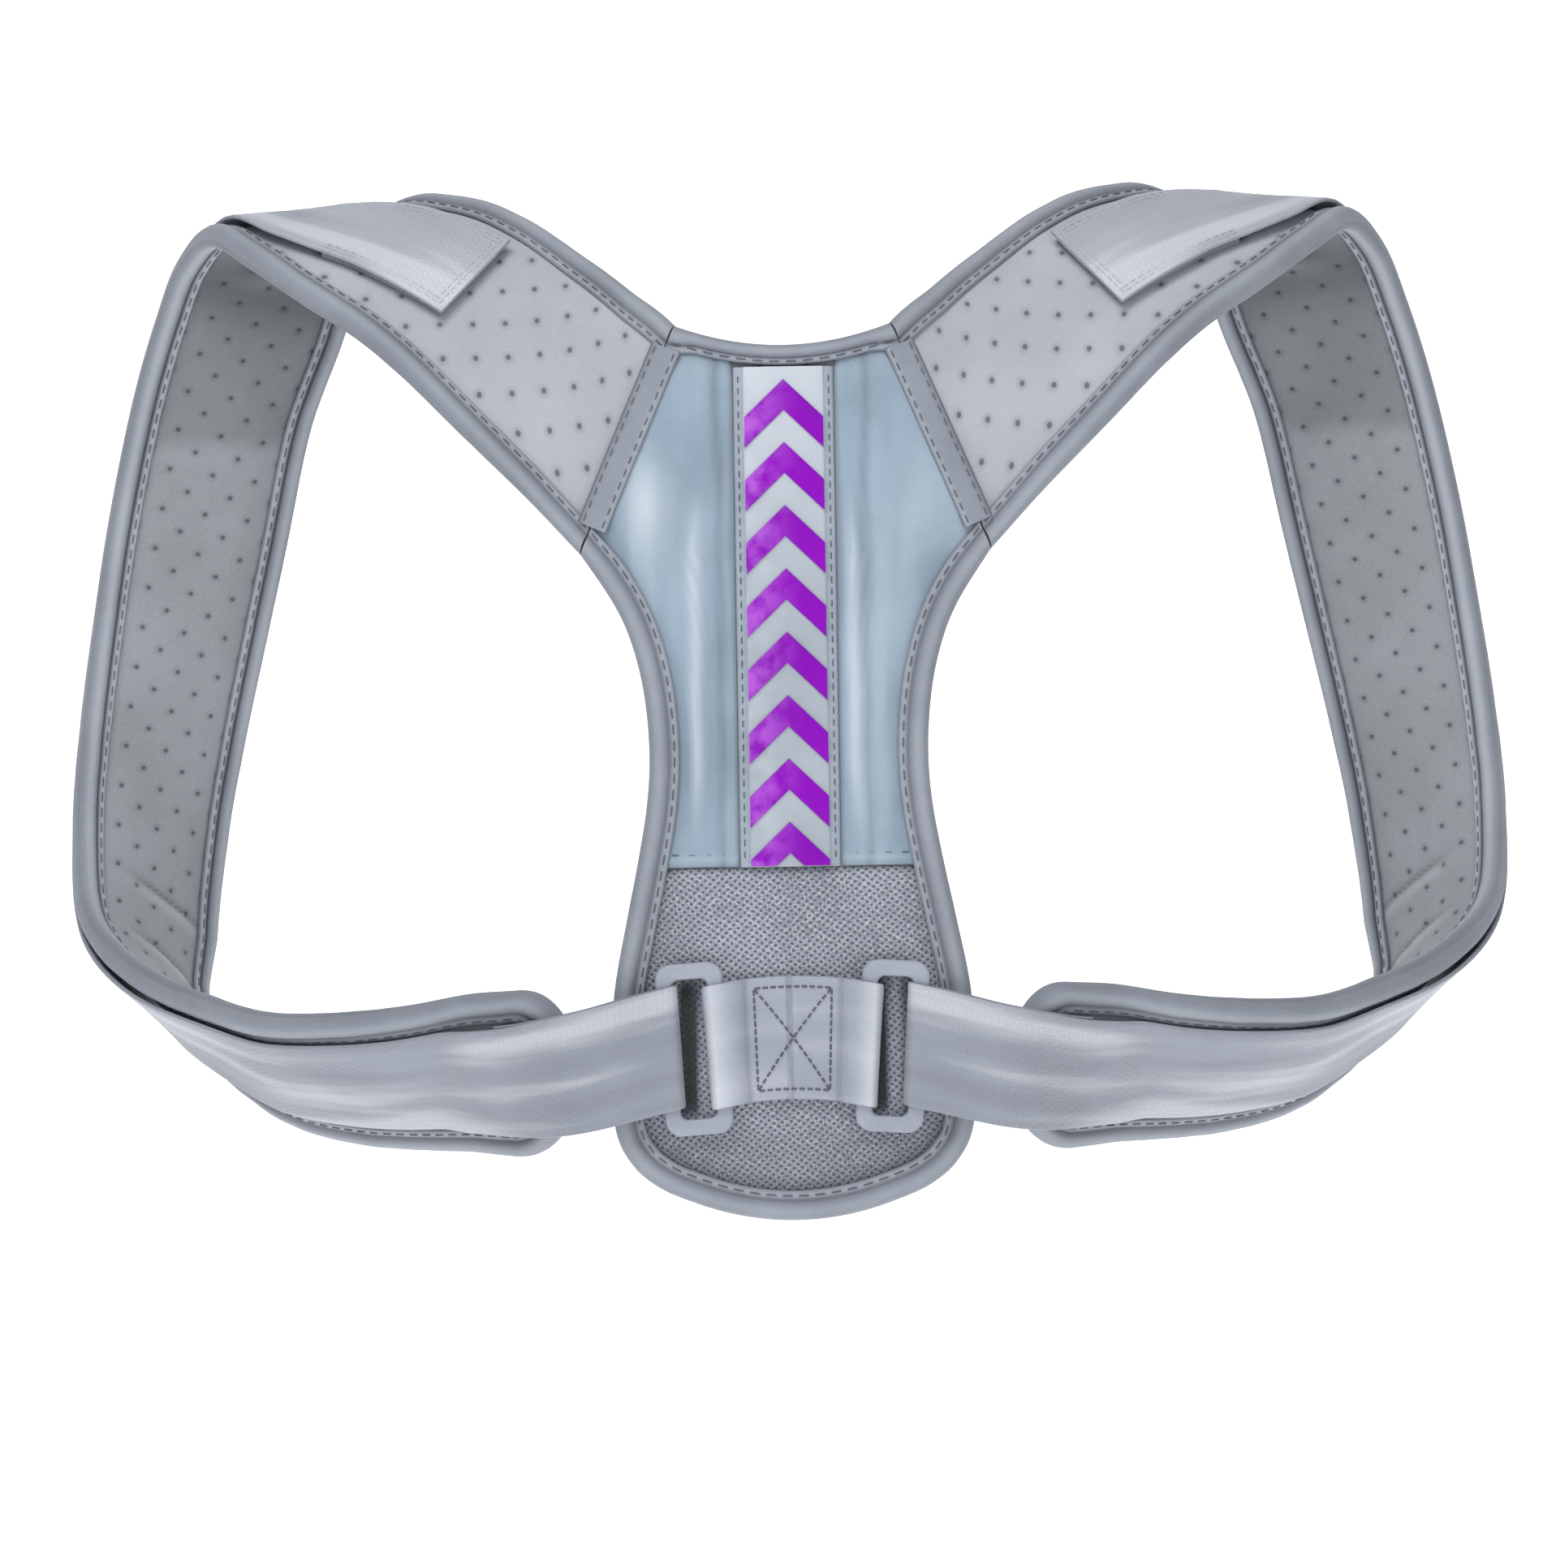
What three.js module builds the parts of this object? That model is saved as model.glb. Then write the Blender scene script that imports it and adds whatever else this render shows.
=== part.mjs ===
// Posture corrector: a padded figure-of-eight back brace in the form it has when worn.
// Millimetres. +Z up, +Y towards the wearer's chest, +X to the right seen from behind.
// The origin lies on the wearer's back, between the shoulder blades.
import * as THREE from 'three';
import { mergeVertices } from 'three/addons/utils/BufferGeometryUtils.js';

// Clearances between sewn layers, and how far separate pieces end apart
const LAYER_GAP = 0.3;
const SLOT_GAP = 0.6;
const END_GAP = 3;

// Back panel
const PANEL_HALF_WIDTH = 56;
const PANEL_BELOW = 134.8;
const PANEL_ABOVE = 136;
const NECK_DIP = 6.3;
const PANEL_CORE = 5;
const FACING = 1;
const PANEL_BOW = 1.5;
const PANEL_LEAN = 4;
const FLAT_HALF_WIDTH = 24;
const SEAM_LOW = { x: 63.3, z: 71.5 };
const SEAM_HIGH = { x: 33, z: PANEL_ABOVE + NECK_DIP };

// Edge binding, the same round panel and straps
const EDGE_THICK = 3.6;
const BINDING_WALL = 1;
const BINDING_LEG = 9.5;
const NECK_BINDING_LEG = 6.6;
const BINDING_BEAD = 0.9;
const SWELL_START = 1;
const SWELL_REACH = 2.3;

// Centre strip
const STRIP_WIDTH = 31;
const STRIP_LENGTH = 154.3;
const STRIP_THICK = 1.4;
const TAPE_WIDTH = 25;
const TAPE_THICK = 0.6;
const PRINT_THICK = 0.4;
const CHEVRON_COUNT = 8;
const CHEVRON_PITCH = 19.5;
const CHEVRON_FIRST_DROP = 4;
const CHEVRON_BAND = 9.5;
const CHEVRON_SLOPE = 0.96;
const STRIP_TOP = PANEL_ABOVE - NECK_BINDING_LEG - SLOT_GAP;
const LOWER_FACING_TOP = STRIP_TOP - STRIP_LENGTH;

// Seam tapes between the panel and the straps
const SEAM_TAPE_WIDTH = 9.5;
const SEAM_TAPE_THICK = 1;

// Padded shoulder straps
const HALF_SPAN = 236;
const SHOULDER_RISE = 178;
const UNDERARM_DROP = 72;
const RAIL_DEPTH = 77;
const STRAP_WIDTH = 66;
const STRAP_PAD = 5.5;
const STRAP_CROWN = 0.3;
const TIP_LENGTH = 24;
const TIP_TO_RING = 29;
const TIP_TURNS = [25, 45, 62, 76];
const TIP_BINDING_TURNS = [-90, -72, -54, -36, -18, 0, 18, 36, 54, 72, 90];

// Webbing, hook patch and rings
const WEBBING_WIDTH = 38;
const WEBBING_THICK = 1.5;
const SEWN_LENGTH = 28;
const TAB_PLACE = 74;
const HOOK_LENGTH = 46;
const HOOK_THICK = 1.8;
const HOOK_MARGIN = 1.5;
const RING_BAR = 5;
const RING_THICK = 3.2;
const RING_SLACK = 2.5;
const RING_REACH = 10.5;
const RING_PLACE = { x: 28, z: -81 };
const RING_TILT = 3.5;
const FOLD_TURNS = [-90, -60, -30, 0, 30, 60, 90];
const CENTRE_ARCH = 3;
const CENTRE_SEAM_HALF = 13;
const CENTRE_FOLD = 1;

// Outline of the panel from the bottom to the upper seam corner. half: share of the half width,
// edge and middle: height of the row at its ends and its middle, as shares of the depth below
// (negative) or the height above (positive) the origin.
const PANEL_ROWS = [
  { half: 0.535, edge: -0.96, middle: -1 },
  { half: 0.735, edge: -0.925, middle: -0.965 },
  { half: 0.895, edge: -0.87, middle: -0.91 },
  { half: 0.99, edge: -0.785, middle: -0.81 },
  { half: 1.0, edge: -0.63, middle: -0.64 },
  { half: 0.985, edge: -0.475, middle: -0.475 },
  { half: 0.905, edge: -0.3, middle: -0.3 },
  { half: 0.85, edge: -0.19, middle: -0.19 },
  { half: 0.79, edge: -0.05, middle: -0.05 },
  { half: 0.77, edge: 0.075, middle: 0.075 },
  { half: 0.795, edge: 0.21, middle: 0.21 },
  { half: 0.86, edge: 0.325, middle: 0.325 },
  { half: 0.955, edge: 0.415, middle: 0.415 },
];
// The panel between the two seams: how far up the seam each row ends, and how far its middle
// has come from the height of the low seam corner to the neck.
const YOKE_ROWS = [
  { seam: 0, middle: 0 },
  { seam: 0.35, middle: 0.37 },
  { seam: 0.7, middle: 0.73 },
  { seam: 0.92, middle: 0.94 },
  { seam: 1, middle: 1 },
];

// The arm-side edge of the right strap, from the seam over the shoulder and back to the ring.
// x, y, z: shares of the half span, the depth and the rise (or, below zero, the drop).
// roll: degrees the width leans from upright towards the middle. pitch: degrees it leans
// forward. wide: share of the strap width.
const STRAP_ROWS = [
  { x: 0.34, y: -0.025, z: 0.505, roll: 28, pitch: 14, wide: 1.135 },
  { x: 0.425, y: 0.01, z: 0.62, roll: 36, pitch: 24, wide: 1.135 },
  { x: 0.505, y: 0.075, z: 0.73, roll: 40, pitch: 31, wide: 1.135 },
  { x: 0.565, y: 0.15, z: 0.8, roll: 43, pitch: 35, wide: 1.12 },
  { x: 0.65, y: 0.295, z: 0.88, roll: 52, pitch: 38, wide: 1.08 },
  { x: 0.72, y: 0.44, z: 0.95, roll: 67, pitch: 37, wide: 1.03 },
  { x: 0.78, y: 0.58, z: 1.0, roll: 84, pitch: 33, wide: 0.99 },
  { x: 0.825, y: 0.71, z: 0.955, roll: 92, pitch: 28, wide: 0.975 },
  { x: 0.86, y: 0.815, z: 0.86, roll: 97, pitch: 27, wide: 0.965 },
  { x: 0.895, y: 0.89, z: 0.725, roll: 98, pitch: 28, wide: 0.94 },
  { x: 0.935, y: 0.955, z: 0.505, roll: 98, pitch: 28, wide: 0.94 },
  { x: 0.96, y: 0.985, z: 0.315, roll: 98, pitch: 32, wide: 0.93 },
  { x: 0.98, y: 1.0, z: 0.13, roll: 98, pitch: 37, wide: 0.92 },
  { x: 0.99, y: 0.975, z: -0.12, roll: 99, pitch: 43, wide: 0.915 },
  { x: 0.98, y: 0.905, z: -0.515, roll: 108, pitch: 50, wide: 0.91 },
  { x: 0.946, y: 0.775, z: -0.67, roll: 127, pitch: 57, wide: 0.905 },
  { x: 0.876, y: 0.605, z: -0.825, roll: 150, pitch: 61, wide: 0.895 },
  { x: 0.793, y: 0.425, z: -0.92, roll: 165, pitch: 58, wide: 0.885 },
  { x: 0.705, y: 0.255, z: -0.985, roll: 172, pitch: 52, wide: 0.885 },
  { x: 0.6, y: 0.125, z: -0.98, roll: 178, pitch: 45, wide: 0.885 },
  { x: 0.51, y: 0.035, z: -0.945, roll: 180, pitch: 39, wide: 0.885 },
  { x: 0.425, y: -0.03, z: -0.89, roll: 181, pitch: 31, wide: 0.88 },
  { x: 0.36, y: -0.07, z: -0.87, roll: 180, pitch: 23, wide: 0.865 },
  { x: 0.28, y: -0.13, z: -0.82, roll: 178, pitch: 8, wide: 0.85 },
];

// The outer face of the binding. inset: share of its leg. wall and bead: its height over the lip
// of the slot, as shares of its wall and of its bead.
const BINDING_ROWS = [
  { inset: 1, wall: 1, bead: 0 },
  { inset: 0.36, wall: 1, bead: 1 },
  { inset: 0.09, wall: 0.7, bead: 0 },
];

// Where the returning webbing lies on the strap. at: share of the way along the strap from the
// seam to the tip. lift: height of its middle surface over the strap's, in webbing
// thicknesses. shift: sideways place, as a share of the strap width, towards the neck if
// positive.
const WEBBING_ROWS = [
  { at: 0, lift: 4.5, shift: 0.08 },
  { at: 0.1, lift: 4.5, shift: 0.08 },
  { at: 0.18, lift: 4.5, shift: 0.02 },
  { at: 0.25, lift: 4.2, shift: -0.09 },
  { at: 0.32, lift: 3.6, shift: -0.13 },
  { at: 0.58, lift: 3.6, shift: -0.13 },
  { at: 0.66, lift: 3.9, shift: -0.12 },
  { at: 0.72, lift: 5.0, shift: -0.1 },
  { at: 0.77, lift: 4.8, shift: -0.08 },
  { at: 0.82, lift: 3.8, shift: -0.05 },
  { at: 0.9, lift: 3.6, shift: -0.03 },
  { at: 1, lift: 4.4, shift: 0 },
];

const lerp = THREE.MathUtils.lerp;
const radians = THREE.MathUtils.degToRad;
const ease = (value, from, to) => THREE.MathUtils.smoothstep(value, from, to);

// A smooth value of one column at a place between rows; place counts rows from 0.
function columnAt(rows, column, place) {
  const last = rows.length - 1;
  const row = Math.min(Math.max(Math.floor(place), 0), last - 1);
  const share = place - row;
  const [before, from, to, after] = [-1, 0, 1, 2].map(
    (step) => rows[Math.min(Math.max(row + step, 0), last)][column],
  );
  const [slopeFrom, slopeTo] = [(to - before) / 2, (after - from) / 2];
  const [square, cube] = [share ** 2, share ** 3];
  return (
    (2 * cube - 3 * square + 1) * from +
    (cube - 2 * square + share) * slopeFrom +
    (3 * square - 2 * cube) * to +
    (cube - square) * slopeTo
  );
}

// A value of one column where the rows' own "at" column says they lie.
function columnAlong(rows, column, at) {
  let row = 0;
  while (row < rows.length - 2 && rows[row + 1].at < at) row += 1;
  const share = (at - rows[row].at) / (rows[row + 1].at - rows[row].at);
  return lerp(rows[row][column], rows[row + 1][column], ease(share, 0, 1));
}

// A closed solid from corner points and triangles, with its faces turned outwards.
function solid(points, triangles) {
  const volume = triangles.reduce((sum, [a, b, c]) => {
    const normal = new THREE.Vector3().crossVectors(points[b], points[c]);
    return sum + points[a].dot(normal);
  }, 0);
  const outward = volume > 0 ? triangles : triangles.map(([a, b, c]) => [a, c, b]);
  const geometry = new THREE.BufferGeometry();
  const positions = points.flatMap((point) => point.toArray());
  geometry.setAttribute('position', new THREE.Float32BufferAttribute(positions, 3));
  geometry.setIndex(outward.flat());
  geometry.computeVertexNormals();
  return geometry;
}

// A solid swept through rings of points that all follow one flat section.
function loft(rings, section) {
  const count = section.length;
  const triangles = [];
  for (let ring = 0; ring < rings.length - 1; ring += 1) {
    for (let side = 0; side < count; side += 1) {
      const next = (side + 1) % count;
      const [a, b] = [ring * count + side, ring * count + next];
      triangles.push([a, b, b + count], [a, b + count, a + count]);
    }
  }
  const cap = THREE.ShapeUtils.triangulateShape(section, []);
  const last = (rings.length - 1) * count;
  const turned = THREE.ShapeUtils.isClockWise(section);
  for (const [a, b, c] of cap) {
    triangles.push(turned ? [a, b, c] : [a, c, b]);
    triangles.push(turned ? [last + a, last + c, last + b] : [last + a, last + b, last + c]);
  }
  return solid(rings.flat(), triangles);
}

// A solid between two grids of points with the same rows and columns.
function slab(upper, lower) {
  const [rows, columns] = [upper.length, upper[0].length];
  const size = rows * columns;
  const index = (row, column) => row * columns + column;
  const triangles = [];
  for (let row = 0; row < rows - 1; row += 1) {
    for (let column = 0; column < columns - 1; column += 1) {
      const [a, b] = [index(row, column), index(row, column + 1)];
      const [c, d] = [index(row + 1, column + 1), index(row + 1, column)];
      triangles.push([a, b, c], [a, c, d]);
      triangles.push([size + a, size + c, size + b], [size + a, size + d, size + c]);
    }
  }
  const rim = [
    ...Array.from({ length: columns - 1 }, (_, step) => index(0, step)),
    ...Array.from({ length: rows - 1 }, (_, step) => index(step, columns - 1)),
    ...Array.from({ length: columns - 1 }, (_, step) => index(rows - 1, columns - 1 - step)),
    ...Array.from({ length: rows - 1 }, (_, step) => index(rows - 1 - step, 0)),
  ];
  rim.forEach((from, step) => {
    const to = rim[(step + 1) % rim.length];
    triangles.push([from, size + to, to], [from, size + from, size + to]);
  });
  return solid([...upper.flat(), ...lower.flat()], triangles);
}

// The same piece on the other side of the body.
function mirrored(geometry) {
  const copy = geometry.clone();
  const positions = copy.getAttribute('position');
  for (let vertex = 0; vertex < positions.count; vertex += 1) {
    positions.setX(vertex, -positions.getX(vertex));
  }
  const corners = Array.from(copy.getIndex().array);
  for (let corner = 0; corner < corners.length; corner += 3) {
    [corners[corner], corners[corner + 1]] = [corners[corner + 1], corners[corner]];
  }
  copy.setIndex(corners);
  copy.computeVertexNormals();
  return copy;
}

// The back panel as a chart: a place across (x) and up (z) and a height over the middle surface.
const PANEL_HALF_THICK = (PANEL_CORE + LAYER_GAP + FACING) / 2;
function panelPoint(x, z, height) {
  const bow = PANEL_BOW * (Math.max(0, Math.abs(x) - FLAT_HALF_WIDTH) / FLAT_HALF_WIDTH) ** 2 / 2;
  const lean = PANEL_LEAN * (Math.max(0, z - PANEL_ABOVE / 2) / (PANEL_ABOVE / 2)) ** 2;
  return new THREE.Vector3(x, bow + lean - PANEL_HALF_THICK - height, z);
}

const heightOf = (share) => (share < 0 ? share * PANEL_BELOW : share * PANEL_ABOVE);
const seamPlace = (share) => ({
  x: lerp(SEAM_LOW.x, SEAM_HIGH.x, share),
  z: lerp(SEAM_LOW.z, SEAM_HIGH.z, share),
});

// Every row of the panel in millimetres, from the bottom to the neck.
const panelRows = [
  ...PANEL_ROWS.map(({ half, edge, middle }) => ({
    x: half * PANEL_HALF_WIDTH,
    z: heightOf(edge),
    middle: heightOf(middle),
    bound: true,
  })),
  ...YOKE_ROWS.map(({ seam, middle }) => ({
    ...seamPlace(seam),
    middle: lerp(SEAM_LOW.z, PANEL_ABOVE, middle),
    bound: false,
  })),
];
const sideRows = panelRows.filter((row, place) => row.bound || place === PANEL_ROWS.length);

// The bound edges as smooth paths in the chart: the side and bottom, and the neck.
const rowPoint = (row, share) => new THREE.Vector2(
  row.x * share,
  lerp(row.middle, row.z, share ** 2),
);
const sidePath = [
  ...sideRows.slice(1).reverse().map((row) => rowPoint(row, 1)),
  ...[1, 0.5, 0, -0.5, -1].map((share) => rowPoint(sideRows[0], share)),
  ...sideRows.slice(1).map((row) => rowPoint(row, -1)),
];
const neckRow = panelRows[panelRows.length - 1];
const neckPath = [-1, -0.75, -0.5, -0.25, 0, 0.25, 0.5, 0.75, 1].map((share) =>
  rowPoint(neckRow, share),
);

// The inward direction at each point of a path in the panel's chart.
function inwardAt(path, place) {
  const before = path[Math.max(place - 1, 0)];
  const after = path[Math.min(place + 1, path.length - 1)];
  const along = new THREE.Vector2().subVectors(after, before).normalize();
  return new THREE.Vector2(along.y, -along.x);
}

function distanceToPath(point, path) {
  const nearest = new THREE.Vector2();
  let shortest = Infinity;
  for (let step = 0; step < path.length - 1; step += 1) {
    const line = new THREE.Line3(
      new THREE.Vector3(path[step].x, path[step].y, 0),
      new THREE.Vector3(path[step + 1].x, path[step + 1].y, 0),
    );
    const from = new THREE.Vector3(point.x, point.y, 0);
    const foot = line.closestPointToPoint(from, true, new THREE.Vector3());
    nearest.set(foot.x, foot.y);
    shortest = Math.min(shortest, nearest.distanceTo(point));
  }
  return shortest;
}

// How far the padding has swollen at a distance from a bound edge: 0 in the binding, 1 inside.
const fullness = (inset, leg) => ease(inset, leg + SWELL_START, leg * SWELL_REACH);
function panelFullness(x, z) {
  const point = new THREE.Vector2(x, z);
  const side = fullness(distanceToPath(point, sidePath), BINDING_LEG);
  const neck = fullness(distanceToPath(point, neckPath), NECK_BINDING_LEG);
  return Math.min(side, neck);
}
const facingTop = (x, z) => lerp(EDGE_THICK / 2, PANEL_HALF_THICK, panelFullness(x, z));
const coreTop = (x, z) => facingTop(x, z) - FACING - LAYER_GAP;
const coreBottom = (x, z) => -lerp(EDGE_THICK / 2, PANEL_HALF_THICK, panelFullness(x, z));

// The section of a binding: inset from the edge, and height over the middle surface.
const SLOT_HALF = EDGE_THICK / 2 + SLOT_GAP;
const CORE_INSET = BINDING_WALL + 2 * SLOT_GAP;
function bindingSection(leg) {
  const face = BINDING_ROWS.map((row) => [
    leg * row.inset,
    SLOT_HALF + BINDING_WALL * row.wall + BINDING_BEAD * row.bead,
  ]);
  const wall = BINDING_WALL + SLOT_GAP;
  return [
    ...face,
    [0, 0],
    ...face.map(([inset, height]) => [inset, -height]).reverse(),
    [leg, -SLOT_HALF],
    [wall, -SLOT_HALF],
    [wall, SLOT_HALF],
    [leg, SLOT_HALF],
  ].map(([inset, height]) => new THREE.Vector2(inset, height));
}

// A binding round a path of the panel's chart, its ends drawn back from the seam.
function panelBinding(path, leg) {
  const ends = path.map((point) => point.clone());
  for (const [end, neighbour] of [[0, 1], [path.length - 1, path.length - 2]]) {
    const back = new THREE.Vector2().subVectors(path[neighbour], path[end]);
    ends[end].add(back.setLength(2 * SLOT_GAP));
  }
  const section = bindingSection(leg);
  const rings = ends.map((point, place) => {
    const inward = inwardAt(path, place);
    return section.map(({ x: inset, y: height }) =>
      panelPoint(point.x + inward.x * inset, point.y + inward.y * inset, height),
    );
  });
  return loft(rings, section);
}

// The panel's rows drawn in from the bound edges, and by the seam gap from the seams.
function insetRows(inset) {
  return panelRows.map((row, place) => {
    if (!row.bound && place > PANEL_ROWS.length) {
      const top = place === panelRows.length - 1 ? inset : 0;
      return { x: row.x - SLOT_GAP, z: row.z - top, middle: row.middle - top };
    }
    const spot = sidePath.findIndex((point) => point.x === row.x && point.y === row.z);
    const inward = inwardAt(sidePath, spot).multiplyScalar(inset);
    const lift = place === 0 ? inset : 0;
    return { x: row.x + inward.x, z: row.z + inward.y, middle: row.middle + lift };
  });
}

const CORE_SHARES = [-1, -0.8, -0.6, -0.3, 0, 0.3, 0.6, 0.8, 1];
const FACING_SHARES = [0, 0.25, 0.5, 0.75, 1];

function panelLayer(rows, place, top, bottom) {
  const gridOf = (height) => rows.map((row) =>
    place(row).map(([x, z]) => panelPoint(x, z, height(x, z))),
  );
  return slab(gridOf(top), gridOf(bottom));
}
const acrossRow = (row) => CORE_SHARES.map((share) => [
  row.x * share,
  lerp(row.middle, row.z, share ** 2),
]);

// A level row where the panel's outline crosses a height.
function levelRow(rows, z) {
  const above = rows.findIndex((row) => row.z >= z);
  const [low, high] = [rows[above - 1], rows[above]];
  return { x: lerp(low.x, high.x, (z - low.z) / (high.z - low.z)), z, middle: z };
}

const coreRows = insetRows(CORE_INSET);
const panelCore = panelLayer(coreRows, acrossRow, coreTop, coreBottom);
const facingBottom = (x, z) => facingTop(x, z) - FACING;
const lowerTop = LOWER_FACING_TOP - LAYER_GAP;
const lowerFacing = panelLayer(
  [...coreRows.filter((row) => row.z < lowerTop - 1), levelRow(coreRows, lowerTop)],
  acrossRow,
  facingTop,
  facingBottom,
);
const sideFacing = panelLayer(
  [levelRow(coreRows, LOWER_FACING_TOP), ...coreRows.filter((row) => row.z > LOWER_FACING_TOP + 1)],
  (row) => FACING_SHARES.map((share) => {
    const x = lerp(STRIP_WIDTH / 2 + LAYER_GAP, row.x, share);
    return [x, lerp(row.middle, row.z, (x / row.x) ** 2)];
  }),
  facingTop,
  facingBottom,
);

// Centre strip, tape and chevrons, stacked on the core.
const stripLevels = [0, 0.2, 0.4, 0.6, 0.8, 0.9, 1].map((share) =>
  lerp(LOWER_FACING_TOP, STRIP_TOP, share),
);
function stripLayer(width, bottom, top) {
  const gridOf = (height) => stripLevels.map((z) =>
    [-0.5, 0, 0.5].map((share) => panelPoint(share * width, z, height)),
  );
  return slab(gridOf(top), gridOf(bottom));
}
const stripBottom = PANEL_HALF_THICK - FACING;
const tapeBottom = stripBottom + STRIP_THICK + LAYER_GAP;
const printBottom = tapeBottom + TAPE_THICK + LAYER_GAP;

function chevron(order) {
  const apex = STRIP_TOP - CHEVRON_FIRST_DROP - order * CHEVRON_PITCH;
  const half = TAPE_WIDTH / 2 - LAYER_GAP;
  const floor = LOWER_FACING_TOP + LAYER_GAP;
  const reach = Math.min(half, (apex - CHEVRON_BAND - floor) / CHEVRON_SLOPE);
  const foot = Math.max(apex - half * CHEVRON_SLOPE - CHEVRON_BAND, floor);
  const right = [
    [half, apex - half * CHEVRON_SLOPE],
    [half, foot],
    ...(reach < half ? [[reach, floor]] : []),
  ];
  const outline = [
    [0, apex],
    ...right,
    [0, apex - CHEVRON_BAND],
    ...right.map(([x, z]) => [-x, z]).reverse(),
  ].map(([x, z]) => new THREE.Vector2(x, z));
  const rings = [printBottom, printBottom + PRINT_THICK].map((height) =>
    outline.map(({ x, y: z }) => panelPoint(x, z, height)),
  );
  return loft(rings, outline);
}

// Tape over the right seam, from binding to binding.
function seamTape() {
  const along = new THREE.Vector2(SEAM_HIGH.x - SEAM_LOW.x, SEAM_HIGH.z - SEAM_LOW.z);
  const length = along.length();
  along.normalize();
  const across = new THREE.Vector2(along.y, -along.x);
  const from = BINDING_LEG + 2 * SLOT_GAP;
  const to = length - NECK_BINDING_LEG - BINDING_LEG / 2;
  const bottom = PANEL_HALF_THICK + LAYER_GAP;
  const gridOf = (height) => [0, 0.25, 0.5, 0.75, 1].map((share) => {
    const reach = lerp(from, to, share);
    return [-0.5, 0, 0.5].map((side) => {
      const x = SEAM_LOW.x + along.x * reach + across.x * side * SEAM_TAPE_WIDTH;
      const z = SEAM_LOW.z + along.y * reach + across.y * side * SEAM_TAPE_WIDTH;
      return panelPoint(x, z, height);
    });
  });
  return slab(gridOf(bottom + SEAM_TAPE_THICK), gridOf(bottom));
}

// Rings stand over the panel on the centre webbing; their middle plane is at ringY.
const panelFace = -2 * PANEL_HALF_THICK;
const ringY = panelFace - 2 * LAYER_GAP - WEBBING_THICK - RING_THICK / 2;
const ringHalfHeight = WEBBING_WIDTH / 2 + RING_SLACK + RING_BAR;
const outerBarX = RING_PLACE.x + RING_REACH;
const innerBarX = RING_PLACE.x - RING_REACH + RING_BAR;

function ringGeometry() {
  const rounded = (halfWidth, halfHeight, radius, path) => {
    const [w, h, r] = [halfWidth, halfHeight, radius];
    path.moveTo(w - r, -h);
    path.absarc(w - r, -h + r, r, -Math.PI / 2, 0);
    path.absarc(w - r, h - r, r, 0, Math.PI / 2);
    path.absarc(-w + r, h - r, r, Math.PI / 2, Math.PI);
    path.absarc(-w + r, -h + r, r, Math.PI, (3 * Math.PI) / 2);
    path.closePath();
    return path;
  };
  const bevel = RING_THICK / 4;
  const halfWidth = (outerBarX - innerBarX) / 2 + RING_BAR / 2;
  const outline = rounded(halfWidth - bevel, ringHalfHeight - bevel, RING_BAR, new THREE.Shape());
  const [slotWidth, slotHeight] = [halfWidth, ringHalfHeight].map((half) => half - RING_BAR + bevel);
  outline.holes.push(rounded(slotWidth, slotHeight, RING_BAR / 2, new THREE.Path()));
  const bar = new THREE.ExtrudeGeometry(outline, {
    depth: RING_THICK - 2 * bevel,
    bevelSize: bevel,
    bevelThickness: bevel,
    bevelSegments: 1,
    curveSegments: 3,
  });
  bar.translate(0, 0, -(RING_THICK - 2 * bevel) / 2);
  bar.rotateX(Math.PI / 2);
  bar.deleteAttribute('normal');
  bar.deleteAttribute('uv');
  const merged = mergeVertices(bar, 1e-4);
  merged.computeVertexNormals();
  return merged;
}

// The padded strap as a chart: length along it from the seam, place across it towards the neck
// edge, and height over its middle surface on the outer side.
const strapRows = (() => {
  const rows = STRAP_ROWS.map((row) => ({
    rail: new THREE.Vector3(
      row.x * HALF_SPAN,
      row.y * RAIL_DEPTH,
      row.z * (row.z < 0 ? UNDERARM_DROP : SHOULDER_RISE),
    ),
    roll: row.roll,
    pitch: row.pitch,
    width: row.wide * STRAP_WIDTH,
  }));
  const low = panelPoint(SEAM_LOW.x, SEAM_LOW.z, 0);
  const seam = panelPoint(SEAM_HIGH.x, SEAM_HIGH.z, 0).sub(low);
  const width = seam.length();
  rows.unshift({
    rail: low,
    roll: THREE.MathUtils.radToDeg(Math.atan2(-seam.x, seam.z)),
    pitch: THREE.MathUtils.radToDeg(Math.asin(seam.y / width)),
    width,
  });
  const roll = 180 - RING_TILT;
  const end = rows[rows.length - 1];
  const half = end.width / 2;
  rows.push({
    rail: new THREE.Vector3(
      outerBarX + half * Math.sin(radians(roll)),
      ringY,
      RING_PLACE.z - half * Math.cos(radians(roll)),
    ),
    roll,
    pitch: 0,
    width: end.width,
  });
  return rows;
})();
const rail = new THREE.CatmullRomCurve3(strapRows.map((row) => row.rail), false, 'centripetal');

function strapStation(place) {
  const roll = radians(columnAt(strapRows, 'roll', place));
  const pitch = radians(columnAt(strapRows, 'pitch', place));
  const width = columnAt(strapRows, 'width', place);
  const across = new THREE.Vector3(
    -Math.cos(pitch) * Math.sin(roll),
    Math.sin(pitch),
    Math.cos(pitch) * Math.cos(roll),
  );
  const middle = rail.getPoint(place / (strapRows.length - 1)).addScaledVector(across, width / 2);
  return { middle, across, width };
}

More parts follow.
